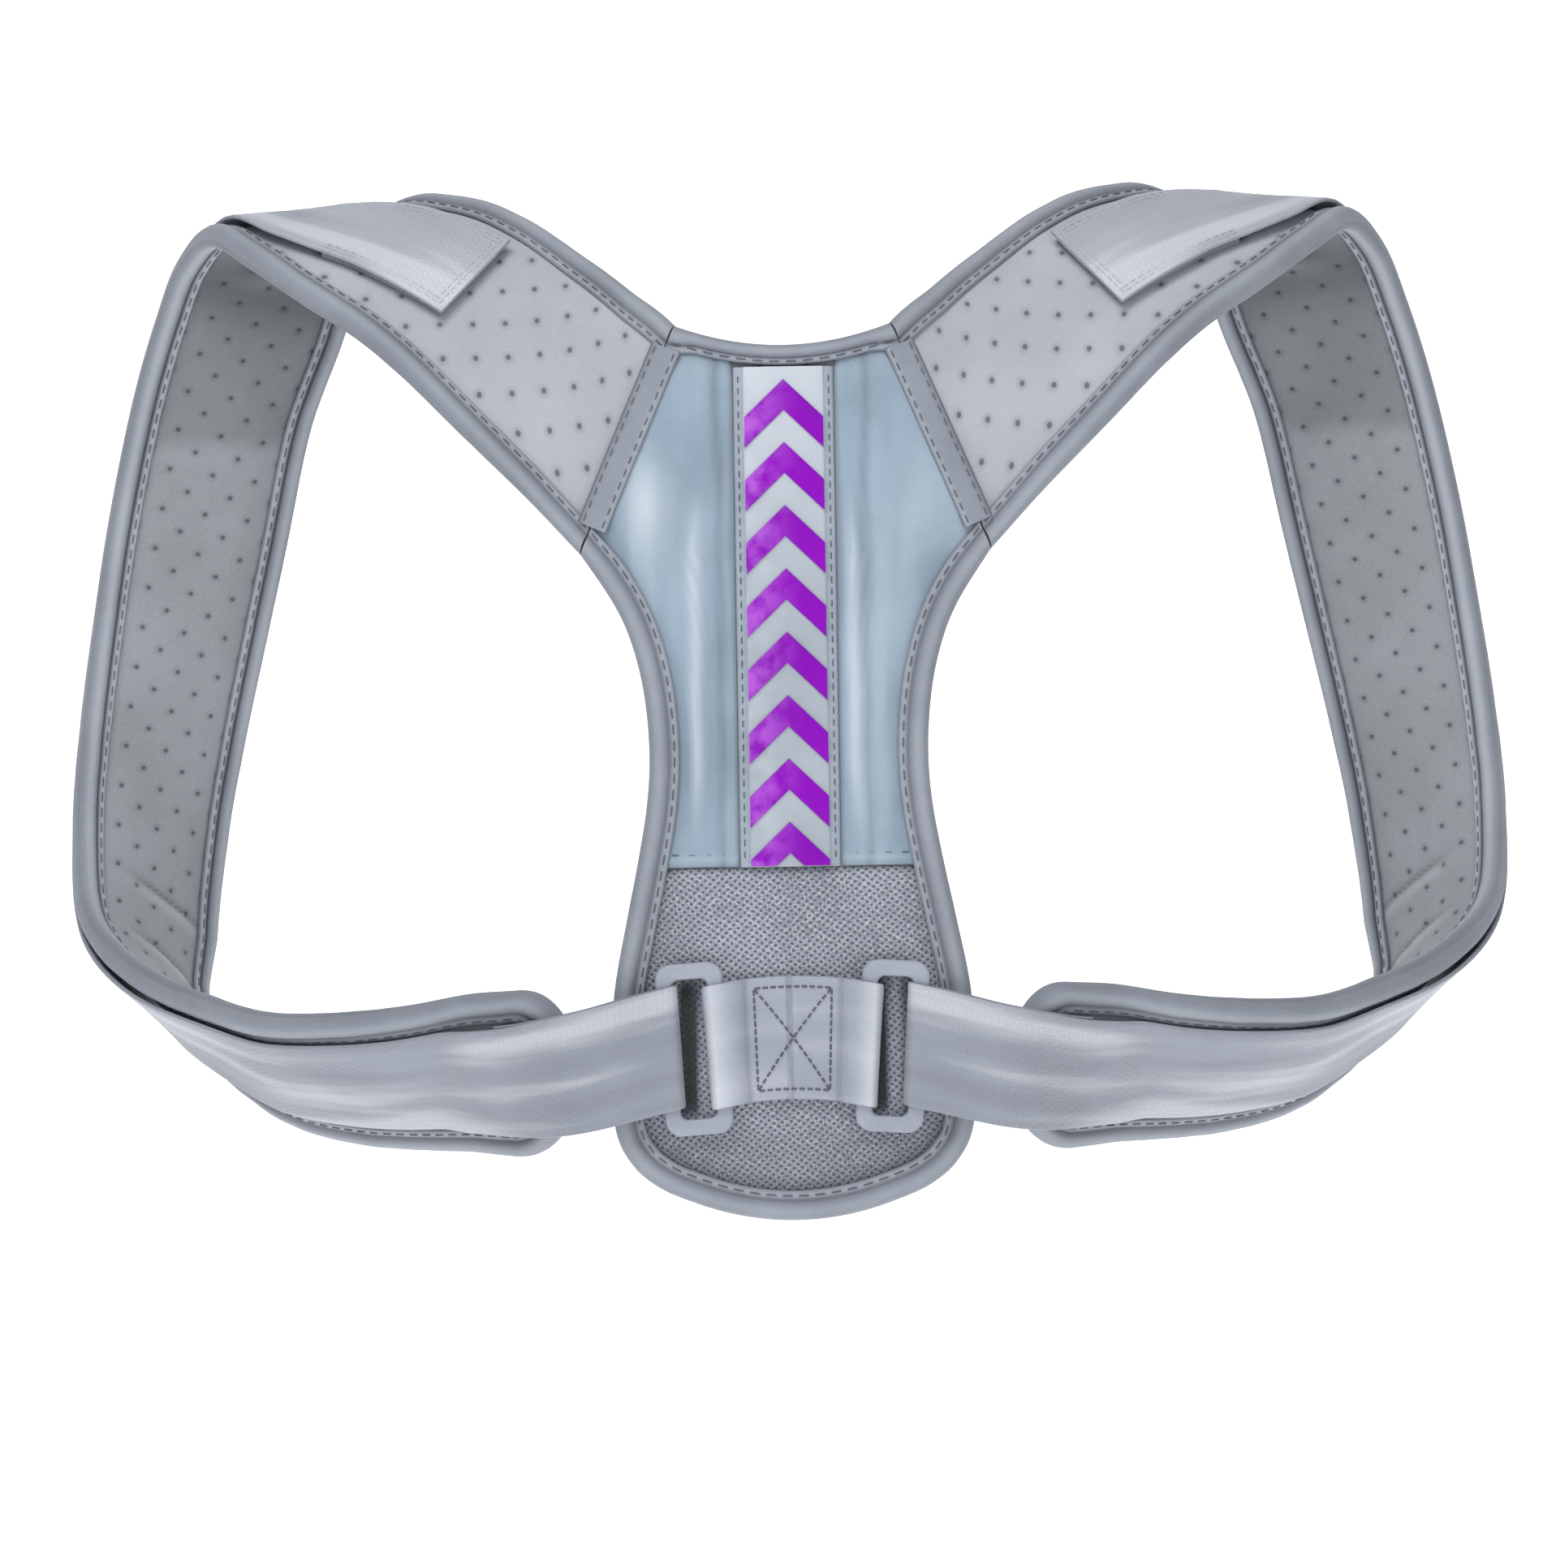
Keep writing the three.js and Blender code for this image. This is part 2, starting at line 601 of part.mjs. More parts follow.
const STEPS_PER_ROW = 12;
const strapTable = (() => {
  const table = [];
  const steps = (strapRows.length - 1) * STEPS_PER_ROW;
  for (let step = 0; step <= steps; step += 1) {
    const station = strapStation(step / STEPS_PER_ROW);
    const before = table[step - 1];
    const length = before ? before.length + before.middle.distanceTo(station.middle) : 0;
    table.push({ ...station, length });
  }
  return table;
})();
const ringLength = strapTable[strapTable.length - 1].length;
const tipLength = ringLength - TIP_TO_RING;

function strapFrame(length) {
  let step = 0;
  while (step < strapTable.length - 2 && strapTable[step + 1].length < length) step += 1;
  const [from, to] = [strapTable[step], strapTable[step + 1]];
  const share = (length - from.length) / (to.length - from.length);
  const middle = new THREE.Vector3().lerpVectors(from.middle, to.middle, share);
  const across = new THREE.Vector3().lerpVectors(from.across, to.across, share).normalize();
  const before = strapTable[Math.max(step - 2, 0)].middle;
  const after = strapTable[Math.min(step + 3, strapTable.length - 1)].middle;
  const along = new THREE.Vector3().subVectors(after, before).normalize();
  const out = new THREE.Vector3().crossVectors(along, across).normalize();
  return { middle, across, along, out, width: lerp(from.width, to.width, share) };
}

function strapPoint(length, side, height) {
  const reach = Math.min(length, ringLength);
  const { middle, across, along, out } = strapFrame(reach);
  return middle
    .addScaledVector(across, side)
    .addScaledVector(out, height)
    .addScaledVector(along, length - reach);
}

// Lengths at which every layer of the strap has a section.
const STRAP_SECTIONS = 40;
const roundStart = tipLength - TIP_LENGTH;
const sectionLengths = Array.from({ length: STRAP_SECTIONS + 1 }, (_, step) =>
  lerp(0, roundStart, step / STRAP_SECTIONS),
);

const swellInset = BINDING_LEG + SWELL_START;
const wideSides = (half) => [half, half - swellInset, (half - swellInset) / 2, 0];
const narrowSides = (half) => [half, half * 0.6, half * 0.3, 0];

function strapHalfThick(side, halfWidth) {
  const full = fullness(halfWidth + CORE_INSET - Math.abs(side), BINDING_LEG);
  const crown = STRAP_CROWN * (1 - (side / halfWidth) ** 2);
  return lerp(EDGE_THICK / 2, STRAP_PAD / 2 + crown, full);
}

// The padded strap itself, its edges inside the binding and its tip rounded.
function paddedStrap() {
  const sections = sectionLengths.map((length) => {
    const half = strapFrame(length).width / 2 - CORE_INSET;
    return { length: Math.max(length, SLOT_GAP), half };
  });
  const reach = TIP_LENGTH - CORE_INSET - 2 * SLOT_GAP;
  const last = strapFrame(roundStart).width / 2 - CORE_INSET;
  for (const turn of TIP_TURNS) {
    const length = roundStart + reach * Math.sin(radians(turn));
    sections.push({ length, half: last * Math.cos(radians(turn)) });
  }
  const sectionOf = (half) => {
    const wide = half > 2 * BINDING_LEG;
    const right = wide ? wideSides(half) : narrowSides(half);
    const sides = [...right, ...right.slice(0, -1).map((side) => -side).reverse()];
    const thick = (side) => (wide ? strapHalfThick(side, half) : EDGE_THICK / 2);
    return [
      ...sides.map((side) => new THREE.Vector2(side, -thick(side))),
      ...sides.map((side) => new THREE.Vector2(side, thick(side))).reverse(),
    ];
  };
  const rings = sections.map(({ length, half }) =>
    sectionOf(half).map(({ x: side, y: height }) => strapPoint(length, side, height)),
  );
  return loft(rings, sectionOf(sections[0].half));
}

// Binding round the strap: along the arm edge, round the tip and back along the neck edge.
function strapBinding() {
  const section = bindingSection(BINDING_LEG);
  const edge = sectionLengths.map((length) => Math.max(length, SLOT_GAP));
  const straight = (length, sign) => section.map(({ x: inset, y: height }) => {
    const half = strapFrame(length).width / 2;
    return strapPoint(length, sign * (half - inset), height);
  });
  const half = strapFrame(roundStart).width / 2;
  const round = (turn) => section.map(({ x: inset, y: height }) => strapPoint(
    roundStart + (TIP_LENGTH - inset) * Math.cos(radians(turn)),
    (half - inset) * Math.sin(radians(turn)),
    height,
  ));
  return loft([
    ...edge.slice(0, -1).map((length) => straight(length, -1)),
    ...TIP_BINDING_TURNS.map(round),
    ...edge.slice(0, -1).reverse().map((length) => straight(length, 1)),
  ], section);
}

// The middle line of the webbing as places along the strap and heights over it: from the sewn
// end on the tip, round the outer bar of the ring, and back up to the end on the shoulder.
const barClear = RING_THICK / 2 + LAYER_GAP + WEBBING_THICK / 2;
const beadTop = SLOT_HALF + BINDING_WALL + BINDING_BEAD;
const sewnHeight = beadTop + 2 * LAYER_GAP + WEBBING_THICK / 2;
const stackedHeight = sewnHeight + WEBBING_THICK + SLOT_GAP;
const webbingShift = (length) =>
  STRAP_WIDTH * columnAlong(WEBBING_ROWS, 'shift', length / tipLength);
const webbingLift = (length) =>
  WEBBING_THICK * columnAlong(WEBBING_ROWS, 'lift', length / tipLength);

function webbingLine() {
  const sewnFrom = tipLength - SEWN_LENGTH;
  const bend = RING_BAR / 2 + LAYER_GAP + WEBBING_THICK / 2 - barClear;
  const fold = FOLD_TURNS.map((turn) => ({
    length: ringLength + bend + barClear * Math.cos(radians(turn)),
    height: barClear * Math.sin(radians(turn)),
  }));
  const under = [0, 0.35, 0.7, 1].map((share) => ({
    length: lerp(sewnFrom, tipLength + END_GAP, share),
    height: sewnHeight,
  }));
  const dip = [0.3, 0.5, 0.8].map((share) => ({
    length: lerp(tipLength + END_GAP, ringLength, share),
    height: lerp(sewnHeight, -barClear, ease(share, 0, 0.8)),
  }));
  const over = [0.3, 0.65, 1].map((share) => ({
    length: lerp(ringLength, tipLength + END_GAP, share),
    height: lerp(barClear, stackedHeight, ease(share, 0, 1)),
  }));
  const stackedFrom = sewnFrom - WEBBING_WIDTH / 3;
  const back = sectionLengths
    .filter((length) => length > TAB_PLACE + END_GAP)
    .reverse()
    .map((length) => ({
      length,
      height: Math.max(webbingLift(length), length > stackedFrom ? stackedHeight : 0),
    }));
  const end = { length: TAB_PLACE, height: webbingLift(TAB_PLACE) };
  return [...under, ...dip, ...fold, ...over, ...back, end];
}

function webbingStrap() {
  const line = webbingLine();
  const half = WEBBING_WIDTH / 2;
  const section = [[-1, -1], [0, -1], [1, -1], [1, 1], [0, 1], [-1, 1]].map(
    ([side, face]) => new THREE.Vector2(side * half, face * WEBBING_THICK / 2),
  );
  const rings = line.map((spot, place) => {
    const before = line[Math.max(place - 1, 0)];
    const after = line[Math.min(place + 1, line.length - 1)];
    const [run, rise] = [after.length - before.length, after.height - before.height];
    const along = new THREE.Vector2(run, rise).normalize();
    return section.map(({ x: side, y: offset }) => strapPoint(
      spot.length + along.y * offset,
      side + webbingShift(spot.length),
      spot.height - along.x * offset,
    ));
  });
  return loft(rings, section);
}

// The hook patch under the end of the webbing, on the back of the shoulder.
function hookPatch() {
  const [from, to] = [TAB_PLACE + HOOK_MARGIN, TAB_PLACE + HOOK_LENGTH];
  const between = sectionLengths.filter((length) => length > from + 1 && length < to - 1);
  const lengths = [from, ...between, to];
  const half = WEBBING_WIDTH / 2 - HOOK_MARGIN;
  const bottom = STRAP_PAD / 2 + STRAP_CROWN + 2 * LAYER_GAP;
  const gridOf = (height) => lengths.map((length) => [-1, 0, 1].map((side) =>
    strapPoint(length, side * half + webbingShift(length), height),
  ));
  return slab(gridOf(bottom + HOOK_THICK), gridOf(bottom));
}

// Centre webbing: two layers sewn together in the middle, each end a loop round a ring's bar.
function centreWebbing() {
  const innerFace = panelFace - LAYER_GAP;
  const innerTop = innerFace - WEBBING_THICK;
  const outerFace = ringY - RING_THICK / 2 - LAYER_GAP;
  const outerTop = outerFace - WEBBING_THICK;
  const sewn = innerTop - WEBBING_THICK;
  const barOut = innerBarX + RING_BAR / 2 + LAYER_GAP;
  const barIn = innerBarX - RING_BAR / 2 - LAYER_GAP;
  const end = barOut + WEBBING_THICK;
  const right = [
    [CENTRE_SEAM_HALF, sewn],
    [barIn - CENTRE_FOLD, outerTop],
    [barOut - CENTRE_FOLD / 2, outerTop],
    [end, lerp(outerTop, innerFace, 0.25)],
    [end, lerp(outerTop, innerFace, 0.75)],
    [barOut - CENTRE_FOLD / 2, innerFace],
    [CENTRE_SEAM_HALF, innerFace - LAYER_GAP],
  ];
  const outline = new THREE.Shape([
    ...right,
    ...right.map(([x, y]) => [-x, y]).reverse(),
  ].map(([x, y]) => new THREE.Vector2(x, y)));
  const hole = [
    [CENTRE_SEAM_HALF + 2 * CENTRE_FOLD, innerTop - LAYER_GAP],
    [barIn, outerFace],
    [barOut, outerFace],
    [barOut, innerTop],
  ];
  for (const side of [1, -1]) {
    outline.holes.push(new THREE.Path(hole.map(([x, y]) => new THREE.Vector2(side * x, y))));
  }
  const strip = new THREE.ExtrudeGeometry(outline, {
    depth: WEBBING_WIDTH,
    bevelEnabled: false,
    steps: 2,
  });
  strip.deleteAttribute('normal');
  strip.deleteAttribute('uv');
  const merged = mergeVertices(strip, 1e-4);
  const positions = merged.getAttribute('position');
  for (let vertex = 0; vertex < positions.count; vertex += 1) {
    const [x, y] = [positions.getX(vertex), positions.getY(vertex)];
    const up = positions.getZ(vertex) - WEBBING_WIDTH / 2;
    const slant = Math.tan(radians(RING_TILT)) * up * (x / innerBarX);
    const arch = CENTRE_ARCH * (1 - (x / end) ** 2);
    positions.setXYZ(vertex, x + slant, y, RING_PLACE.z + up + arch);
  }
  merged.computeVertexNormals();
  return merged;
}

// Finishes
const FINISHES = {
  padding: { color: 0xb3b7c1, roughness: 0.85, metalness: 0 },
  binding: { color: 0x98a0aa, roughness: 0.8, metalness: 0 },
  coated: { color: 0x96a8b8, roughness: 0.4, metalness: 0 },
  mesh: { color: 0x969ba5, roughness: 0.85, metalness: 0 },
  strip: { color: 0xb4bec8, roughness: 0.6, metalness: 0 },
  tape: { color: 0xc3cad2, roughness: 0.35, metalness: 0.2 },
  print: { color: 0x9318c0, roughness: 0.4, metalness: 0 },
  webbing: { color: 0xacb0bd, roughness: 0.6, metalness: 0 },
  plastic: { color: 0x9ba0ac, roughness: 0.5, metalness: 0 },
};

function piece(name, geometry, finish) {
  const mesh = new THREE.Mesh(geometry, new THREE.MeshStandardMaterial(FINISHES[finish]));
  mesh.name = name;
  return mesh;
}
const pair = (name, geometry, finish) => [
  piece(`${name}_right`, geometry, finish),
  piece(`${name}_left`, mirrored(geometry), finish),
];

const brace = new THREE.Group();
const panel = new THREE.Group();
panel.add(
  piece('panel_core', panelCore, 'padding'),
  ...pair('facing', sideFacing, 'coated'),
  piece('facing_lower', lowerFacing, 'mesh'),
  piece('strip_base', stripLayer(STRIP_WIDTH, stripBottom, stripBottom + STRIP_THICK), 'strip'),
  piece('reflective_tape', stripLayer(TAPE_WIDTH, tapeBottom, tapeBottom + TAPE_THICK), 'tape'),
  piece('neck_binding', panelBinding(neckPath, NECK_BINDING_LEG), 'binding'),
  piece('panel_binding', panelBinding(sidePath, BINDING_LEG), 'binding'),
  ...pair('seam_tape', seamTape(), 'binding'),
);
for (let order = 0; order < CHEVRON_COUNT; order += 1) {
  panel.add(piece(`chevron_${order + 1}`, chevron(order), 'print'));
}

const straps = new THREE.Group();
straps.add(
  ...pair('shoulder_strap', paddedStrap(), 'padding'),
  ...pair('strap_binding', strapBinding(), 'binding'),
  ...pair('webbing', webbingStrap(), 'webbing'),
  ...pair('hook_patch', hookPatch(), 'webbing'),
);

const fastening = new THREE.Group();
fastening.add(piece('centre_webbing', centreWebbing(), 'webbing'));
for (const [name, side] of [['ring_right', 1], ['ring_left', -1]]) {
  const ring = piece(name, ringGeometry(), 'plastic');
  ring.position.set(side * (outerBarX + innerBarX) / 2, ringY, RING_PLACE.z);
  ring.rotation.y = side * radians(RING_TILT);
  fastening.add(ring);
}

brace.add(panel, straps, fastening);
export default brace;
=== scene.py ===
"""A padded posture corrector in the form it has when worn, seen from behind."""

import bisect
import logging
import math
from collections.abc import Callable, Sequence
from dataclasses import dataclass, field
from enum import Enum

import bmesh
import bpy
from mathutils import Matrix, Vector, noise

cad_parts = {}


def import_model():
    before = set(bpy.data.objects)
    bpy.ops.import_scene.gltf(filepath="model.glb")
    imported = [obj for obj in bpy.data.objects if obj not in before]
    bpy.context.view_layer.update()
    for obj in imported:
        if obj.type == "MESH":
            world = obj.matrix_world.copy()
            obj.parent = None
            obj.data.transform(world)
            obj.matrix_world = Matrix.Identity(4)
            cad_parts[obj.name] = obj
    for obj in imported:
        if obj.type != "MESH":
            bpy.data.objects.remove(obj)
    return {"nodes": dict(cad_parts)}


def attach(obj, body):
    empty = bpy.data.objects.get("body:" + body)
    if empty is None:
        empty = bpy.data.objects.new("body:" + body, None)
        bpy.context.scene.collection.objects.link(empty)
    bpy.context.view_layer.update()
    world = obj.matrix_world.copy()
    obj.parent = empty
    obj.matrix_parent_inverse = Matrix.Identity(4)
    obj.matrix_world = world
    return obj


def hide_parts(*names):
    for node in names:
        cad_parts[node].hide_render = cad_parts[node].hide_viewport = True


LOG = logging.getLogger("posture_corrector")
MM = 0.001
SHARP_EDGE = 50.0
LEAST_SHARE = 0.35

# Clearances between sewn layers, in millimetres as every size below
LAYER_GAP = 0.3
SLOT_GAP = 0.6
END_GAP = 3.0

# Back panel
PANEL_HALF_WIDTH = 56.0
PANEL_BELOW = 134.8
PANEL_ABOVE = 136.0
PANEL_CORE = 5.0
FACING = 1.0
PANEL_HALF_THICK = (PANEL_CORE + LAYER_GAP + FACING) / 2
PANEL_BOW = 1.5
PANEL_LEAN = 4.0
FLAT_HALF_WIDTH = 24.0
SEAM_LOW = (63.3, 71.5)
SEAM_HIGH = (33.0, 142.3)
LOWER_FACING_TOP = -25.5
HEM_FOLD = 1.4
HEM_SEAM = 3.9

# Edge binding
EDGE_THICK = 3.6
BINDING_WALL = 1.0
BINDING_LEG = 9.5
NECK_BINDING_LEG = 6.6
BINDING_BEAD = 0.9
SLOT_HALF = EDGE_THICK / 2 + SLOT_GAP
BEAD_TOP = SLOT_HALF + BINDING_WALL + BINDING_BEAD
STITCH_INSET = 0.83

# Centre strip
STRIP_WIDTH = 31.0
STRIP_THICK = 1.4
TAPE_WIDTH = 25.0
TAPE_THICK = 0.6
PRINT_THICK = 0.4
CHEVRON_COUNT = 8
CHEVRON_PITCH = 19.5
CHEVRON_FIRST_DROP = 4.0
CHEVRON_BAND = 9.5
CHEVRON_SLOPE = 0.96
STRIP_TOP = PANEL_ABOVE - NECK_BINDING_LEG - SLOT_GAP

# Seam tapes
SEAM_TAPE_WIDTH = 9.5
SEAM_TAPE_THICK = 1.0

# Padded shoulder straps
HALF_SPAN = 236.0
SHOULDER_RISE = 178.0
UNDERARM_DROP = 72.0
RAIL_DEPTH = 77.0
STRAP_WIDTH = 66.0
STRAP_PAD = 5.5
STRAP_CROWN = 0.3
TIP_LENGTH = 24.0
TIP_TO_RING = 29.0

# Webbing, hook patch and rings
WEBBING_WIDTH = 38.0
WEBBING_THICK = 1.5
SEWN_LENGTH = 28.0
TAB_PLACE = 74.0
HOOK_LENGTH = 46.0
HOOK_THICK = 1.8
HOOK_MARGIN = 1.5
RING_BAR = 5.0
RING_THICK = 3.2
RING_SLACK = 2.5
RING_REACH = 10.5
RING_X = 28.0
RING_Z = -81.0
RING_TILT = 3.5
CENTRE_ARCH = 3.0
CENTRE_SEAM_HALF = 13.0

PANEL_FACE = -2 * PANEL_HALF_THICK
RING_Y = PANEL_FACE - 2 * LAYER_GAP - WEBBING_THICK - RING_THICK / 2
OUTER_BAR_X = RING_X + RING_REACH
INNER_BAR_X = RING_X - RING_REACH + RING_BAR
RING_HALF_HEIGHT = WEBBING_WIDTH / 2 + RING_SLACK + RING_BAR


@dataclass(frozen=True)
class PanelRow:
    """One row of the panel's outline, in shares of its half width and height."""

    half: float
    edge: float
    middle: float


@dataclass(frozen=True)
class StrapRow:
    """One row of a strap's arm-side edge, and how its width turns there."""

    x: float
    y: float
    z: float
    roll: float
    pitch: float
    wide: float


@dataclass(frozen=True)
class WebbingRow:
    """Where the returning webbing lies on the strap."""

    at: float
    lift: float
    shift: float


PANEL_ROWS = (
    PanelRow(0.535, -0.96, -1.0),
    PanelRow(0.735, -0.925, -0.965),
    PanelRow(0.895, -0.87, -0.91),
    PanelRow(0.99, -0.785, -0.81),
    PanelRow(1.0, -0.63, -0.64),
    PanelRow(0.985, -0.475, -0.475),
    PanelRow(0.905, -0.3, -0.3),
    PanelRow(0.85, -0.19, -0.19),
    PanelRow(0.79, -0.05, -0.05),
    PanelRow(0.77, 0.075, 0.075),
    PanelRow(0.795, 0.21, 0.21),
    PanelRow(0.86, 0.325, 0.325),
    PanelRow(0.955, 0.415, 0.415),
)

STRAP_ROWS = (
    StrapRow(0.34, -0.025, 0.505, 28, 14, 1.135),
    StrapRow(0.425, 0.01, 0.62, 36, 24, 1.135),
    StrapRow(0.505, 0.075, 0.73, 40, 31, 1.135),
    StrapRow(0.565, 0.15, 0.8, 43, 35, 1.12),
    StrapRow(0.65, 0.295, 0.88, 52, 38, 1.08),
    StrapRow(0.72, 0.44, 0.95, 67, 37, 1.03),
    StrapRow(0.78, 0.58, 1.0, 84, 33, 0.99),
    StrapRow(0.825, 0.71, 0.955, 92, 28, 0.975),
    StrapRow(0.86, 0.815, 0.86, 97, 27, 0.965),
    StrapRow(0.895, 0.89, 0.725, 98, 28, 0.94),
    StrapRow(0.935, 0.955, 0.505, 98, 28, 0.94),
    StrapRow(0.96, 0.985, 0.315, 98, 32, 0.93),
    StrapRow(0.98, 1.0, 0.13, 98, 37, 0.92),
    StrapRow(0.99, 0.975, -0.12, 99, 43, 0.915),
    StrapRow(0.98, 0.905, -0.515, 108, 50, 0.91),
    StrapRow(0.946, 0.775, -0.67, 127, 57, 0.905),
    StrapRow(0.876, 0.605, -0.825, 150, 61, 0.895),
    StrapRow(0.793, 0.425, -0.92, 165, 58, 0.885),
    StrapRow(0.705, 0.255, -0.985, 172, 52, 0.885),
    StrapRow(0.6, 0.125, -0.98, 178, 45, 0.885),
    StrapRow(0.51, 0.035, -0.945, 180, 39, 0.885),
    StrapRow(0.425, -0.03, -0.89, 181, 31, 0.88),
    StrapRow(0.36, -0.07, -0.87, 180, 23, 0.865),
    StrapRow(0.28, -0.13, -0.82, 178, 8, 0.85),
)

WEBBING_ROWS = (
    WebbingRow(0, 4.5, 0.08),
    WebbingRow(0.1, 4.5, 0.08),
    WebbingRow(0.18, 4.5, 0.02),
    WebbingRow(0.25, 4.2, -0.09),
    WebbingRow(0.32, 3.6, -0.13),
    WebbingRow(0.58, 3.6, -0.13),
    WebbingRow(0.66, 3.9, -0.12),
    WebbingRow(0.72, 4.4, -0.12),
    WebbingRow(0.77, 4.2, -0.1),
    WebbingRow(0.82, 3.8, -0.05),
    WebbingRow(0.9, 3.6, -0.03),
    WebbingRow(1, 4.4, 0),
)


class Side(Enum):
    """The side of the body that a piece lies on, seen from behind."""

    RIGHT = 1
    LEFT = -1

    @property
    def word(self) -> str:
        """The side's name as the nodes use it."""
        return self.name.lower()


def lerp(start: float, end: float, share: float) -> float:
    """Goes from start to end by a share."""
    return start + (end - start) * share


def ease(value: float, start: float, end: float) -> float:
    """Rises smoothly from 0 at start to 1 at end."""
    share = min(max((value - start) / (end - start), 0.0), 1.0)
    return share * share * (3 - 2 * share)


def bell(value: float, middle: float, width: float) -> float:
    """A smooth bump of height 1 about a middle."""
    return math.exp(-(((value - middle) / width) ** 2))


def steps(start: float, end: float, spacing: float) -> list[float]:
    """Evenly spaced values from start to end, about a spacing apart."""
    count = max(2, round(abs(end - start) / spacing))
    return [lerp(start, end, step / count) for step in range(count + 1)]


def between(value: float, start: float, full: float, less: float, end: float) -> float:
    """Rises from 0 to 1 between two values, and falls back to 0 between two higher ones."""
    return ease(value, start, full) * (1 - ease(value, less, end))


def ripple(x: float, y: float, z: float) -> float:
    """A smooth value about 0 that wanders from place to place, the same in each run."""
    return noise.noise(Vector((x, y, z)))


def marks_along(points: Sequence[Sequence[float]]) -> list[float]:
    """How far along a path each of its points lies."""
    marks = [0.0]
    for here, there in zip(points, points[1:]):
        marks.append(marks[-1] + math.dist(here, there))
    return marks


def smooth_at(values: Sequence[float], place: float) -> float:
    """A smooth value between the rows of a column.

    Args:
        values: the column, one value a row.
        place: where along the rows, counted from 0.

    Returns:
        The value of a curve that passes through every row.
    """
    last = len(values) - 1
    row = min(max(math.floor(place), 0), last - 1)
    share = place - row
    before, start = values[max(row - 1, 0)], values[row]
    end, after = values[row + 1], values[min(row + 2, last)]
    leave, arrive = (end - before) / 2, (after - start) / 2
    square, cube = share**2, share**3
    return (
        (2 * cube - 3 * square + 1) * start
        + (cube - 2 * square + share) * leave
        + (3 * square - 2 * cube) * end
        + (cube - square) * arrive
    )


def screen(red: int, green: int, blue: int) -> tuple[float, float, float, float]:
    """Turns an 8-bit screen colour into a linear one."""

    def linear(value: int) -> float:
        """One channel of the colour."""
        share = value / 255
        return share / 12.92 if share <= 0.04045 else ((share + 0.055) / 1.055) ** 2.4

    return linear(red), linear(green), linear(blue), 1.0


# ------------------------------------------------------------------ charts


@dataclass
class PanelChart:
    """Places on the panel: across, up, and height over its middle surface."""

    side: list[Vector] = field(default_factory=list)
    neck: list[Vector] = field(default_factory=list)

    def __post_init__(self) -> None:
        """Draws the two bound edges as smooth paths."""
        halves = [row.half * PANEL_HALF_WIDTH for row in PANEL_ROWS] + [SEAM_LOW[0]]
        edges = [self.height_of(row.edge) for row in PANEL_ROWS] + [SEAM_LOW[1]]
        last = len(halves) - 1
        right = [
            Vector((smooth_at(halves, last - step / 6), smooth_at(edges, last - step / 6)))
            for step in range(6 * last + 1)
        ]
        foot, middle = right[-1], self.height_of(PANEL_ROWS[0].middle)
        bottom = [
            Vector((foot.x * share, lerp(middle, foot.y, share**2)))
            for share in steps(1, -1, 0.08)
        ]
        self.side = right + bottom[1:-1] + [Vector((-p.x, p.y)) for p in reversed(right)]
        self.neck = [
            Vector((SEAM_HIGH[0] * share, lerp(PANEL_ABOVE, SEAM_HIGH[1], share**2)))
            for share in steps(-1, 1, 0.06)
        ]

    @staticmethod
    def height_of(share: float) -> float:
        """A height over the origin from its share of the reach up or down."""
        return share * (PANEL_BELOW if share < 0 else PANEL_ABOVE)

    @staticmethod
    def point(x: float, z: float, height: float) -> Vector:
        """A place of the panel in metres."""
        bow = PANEL_BOW * (max(0.0, abs(x) - FLAT_HALF_WIDTH) / FLAT_HALF_WIDTH) ** 2 / 2
        half = PANEL_ABOVE / 2
        lean = PANEL_LEAN * (max(0.0, z - half) / half) ** 2
        return Vector((x, bow + lean - PANEL_HALF_THICK - height, z)) * MM

    def half_at(self, z: float) -> float:
        """The half width of the panel at a height, out to its bound edge or its seam."""
        if z >= SEAM_LOW[1]:
            return lerp(SEAM_LOW[0], SEAM_HIGH[0], (z - SEAM_LOW[1]) / (SEAM_HIGH[1] - SEAM_LOW[1]))
        before = None
        for spot in self.side:
            if spot.y <= z:
                if before is None or before.y == spot.y:
                    return spot.x
                return lerp(before.x, spot.x, (before.y - z) / (before.y - spot.y))
            before = spot
        return 0.0

    def bottom_at(self, x: float) -> float:
        """The height of the panel's lower edge at a place across."""
        foot = PANEL_ROWS[0].half * PANEL_HALF_WIDTH
        if abs(x) <= foot:
            low = self.height_of(PANEL_ROWS[0].middle)
            return lerp(low, self.height_of(PANEL_ROWS[0].edge), (x / foot) ** 2)
        previous = Vector((foot, self.height_of(PANEL_ROWS[0].edge)))
        for spot in reversed(self.side[: len(self.side) // 2]):
            if spot.x >= abs(x) and spot.y >= previous.y:
                share = (abs(x) - previous.x) / max(spot.x - previous.x, 1e-6)
                return lerp(previous.y, spot.y, share)
            previous = spot
        return previous.y

    def inset(self, x: float, z: float) -> float:
        """How far a place lies inside the nearer bound edge."""
        here = Vector((abs(x), z))
        nearest = min((here - spot).length for spot in self.side[: len(self.side) // 2 + 14])
        neck = min((here - spot).length for spot in self.neck[len(self.neck) // 2 :])
        return min(nearest, neck + BINDING_LEG - NECK_BINDING_LEG)


@dataclass
class Station:
    """The strap's middle, directions and width at one length."""

    middle: Vector
    across: Vector
    length: float
    width: float
    along: Vector = field(default_factory=Vector)
    out: Vector = field(default_factory=Vector)


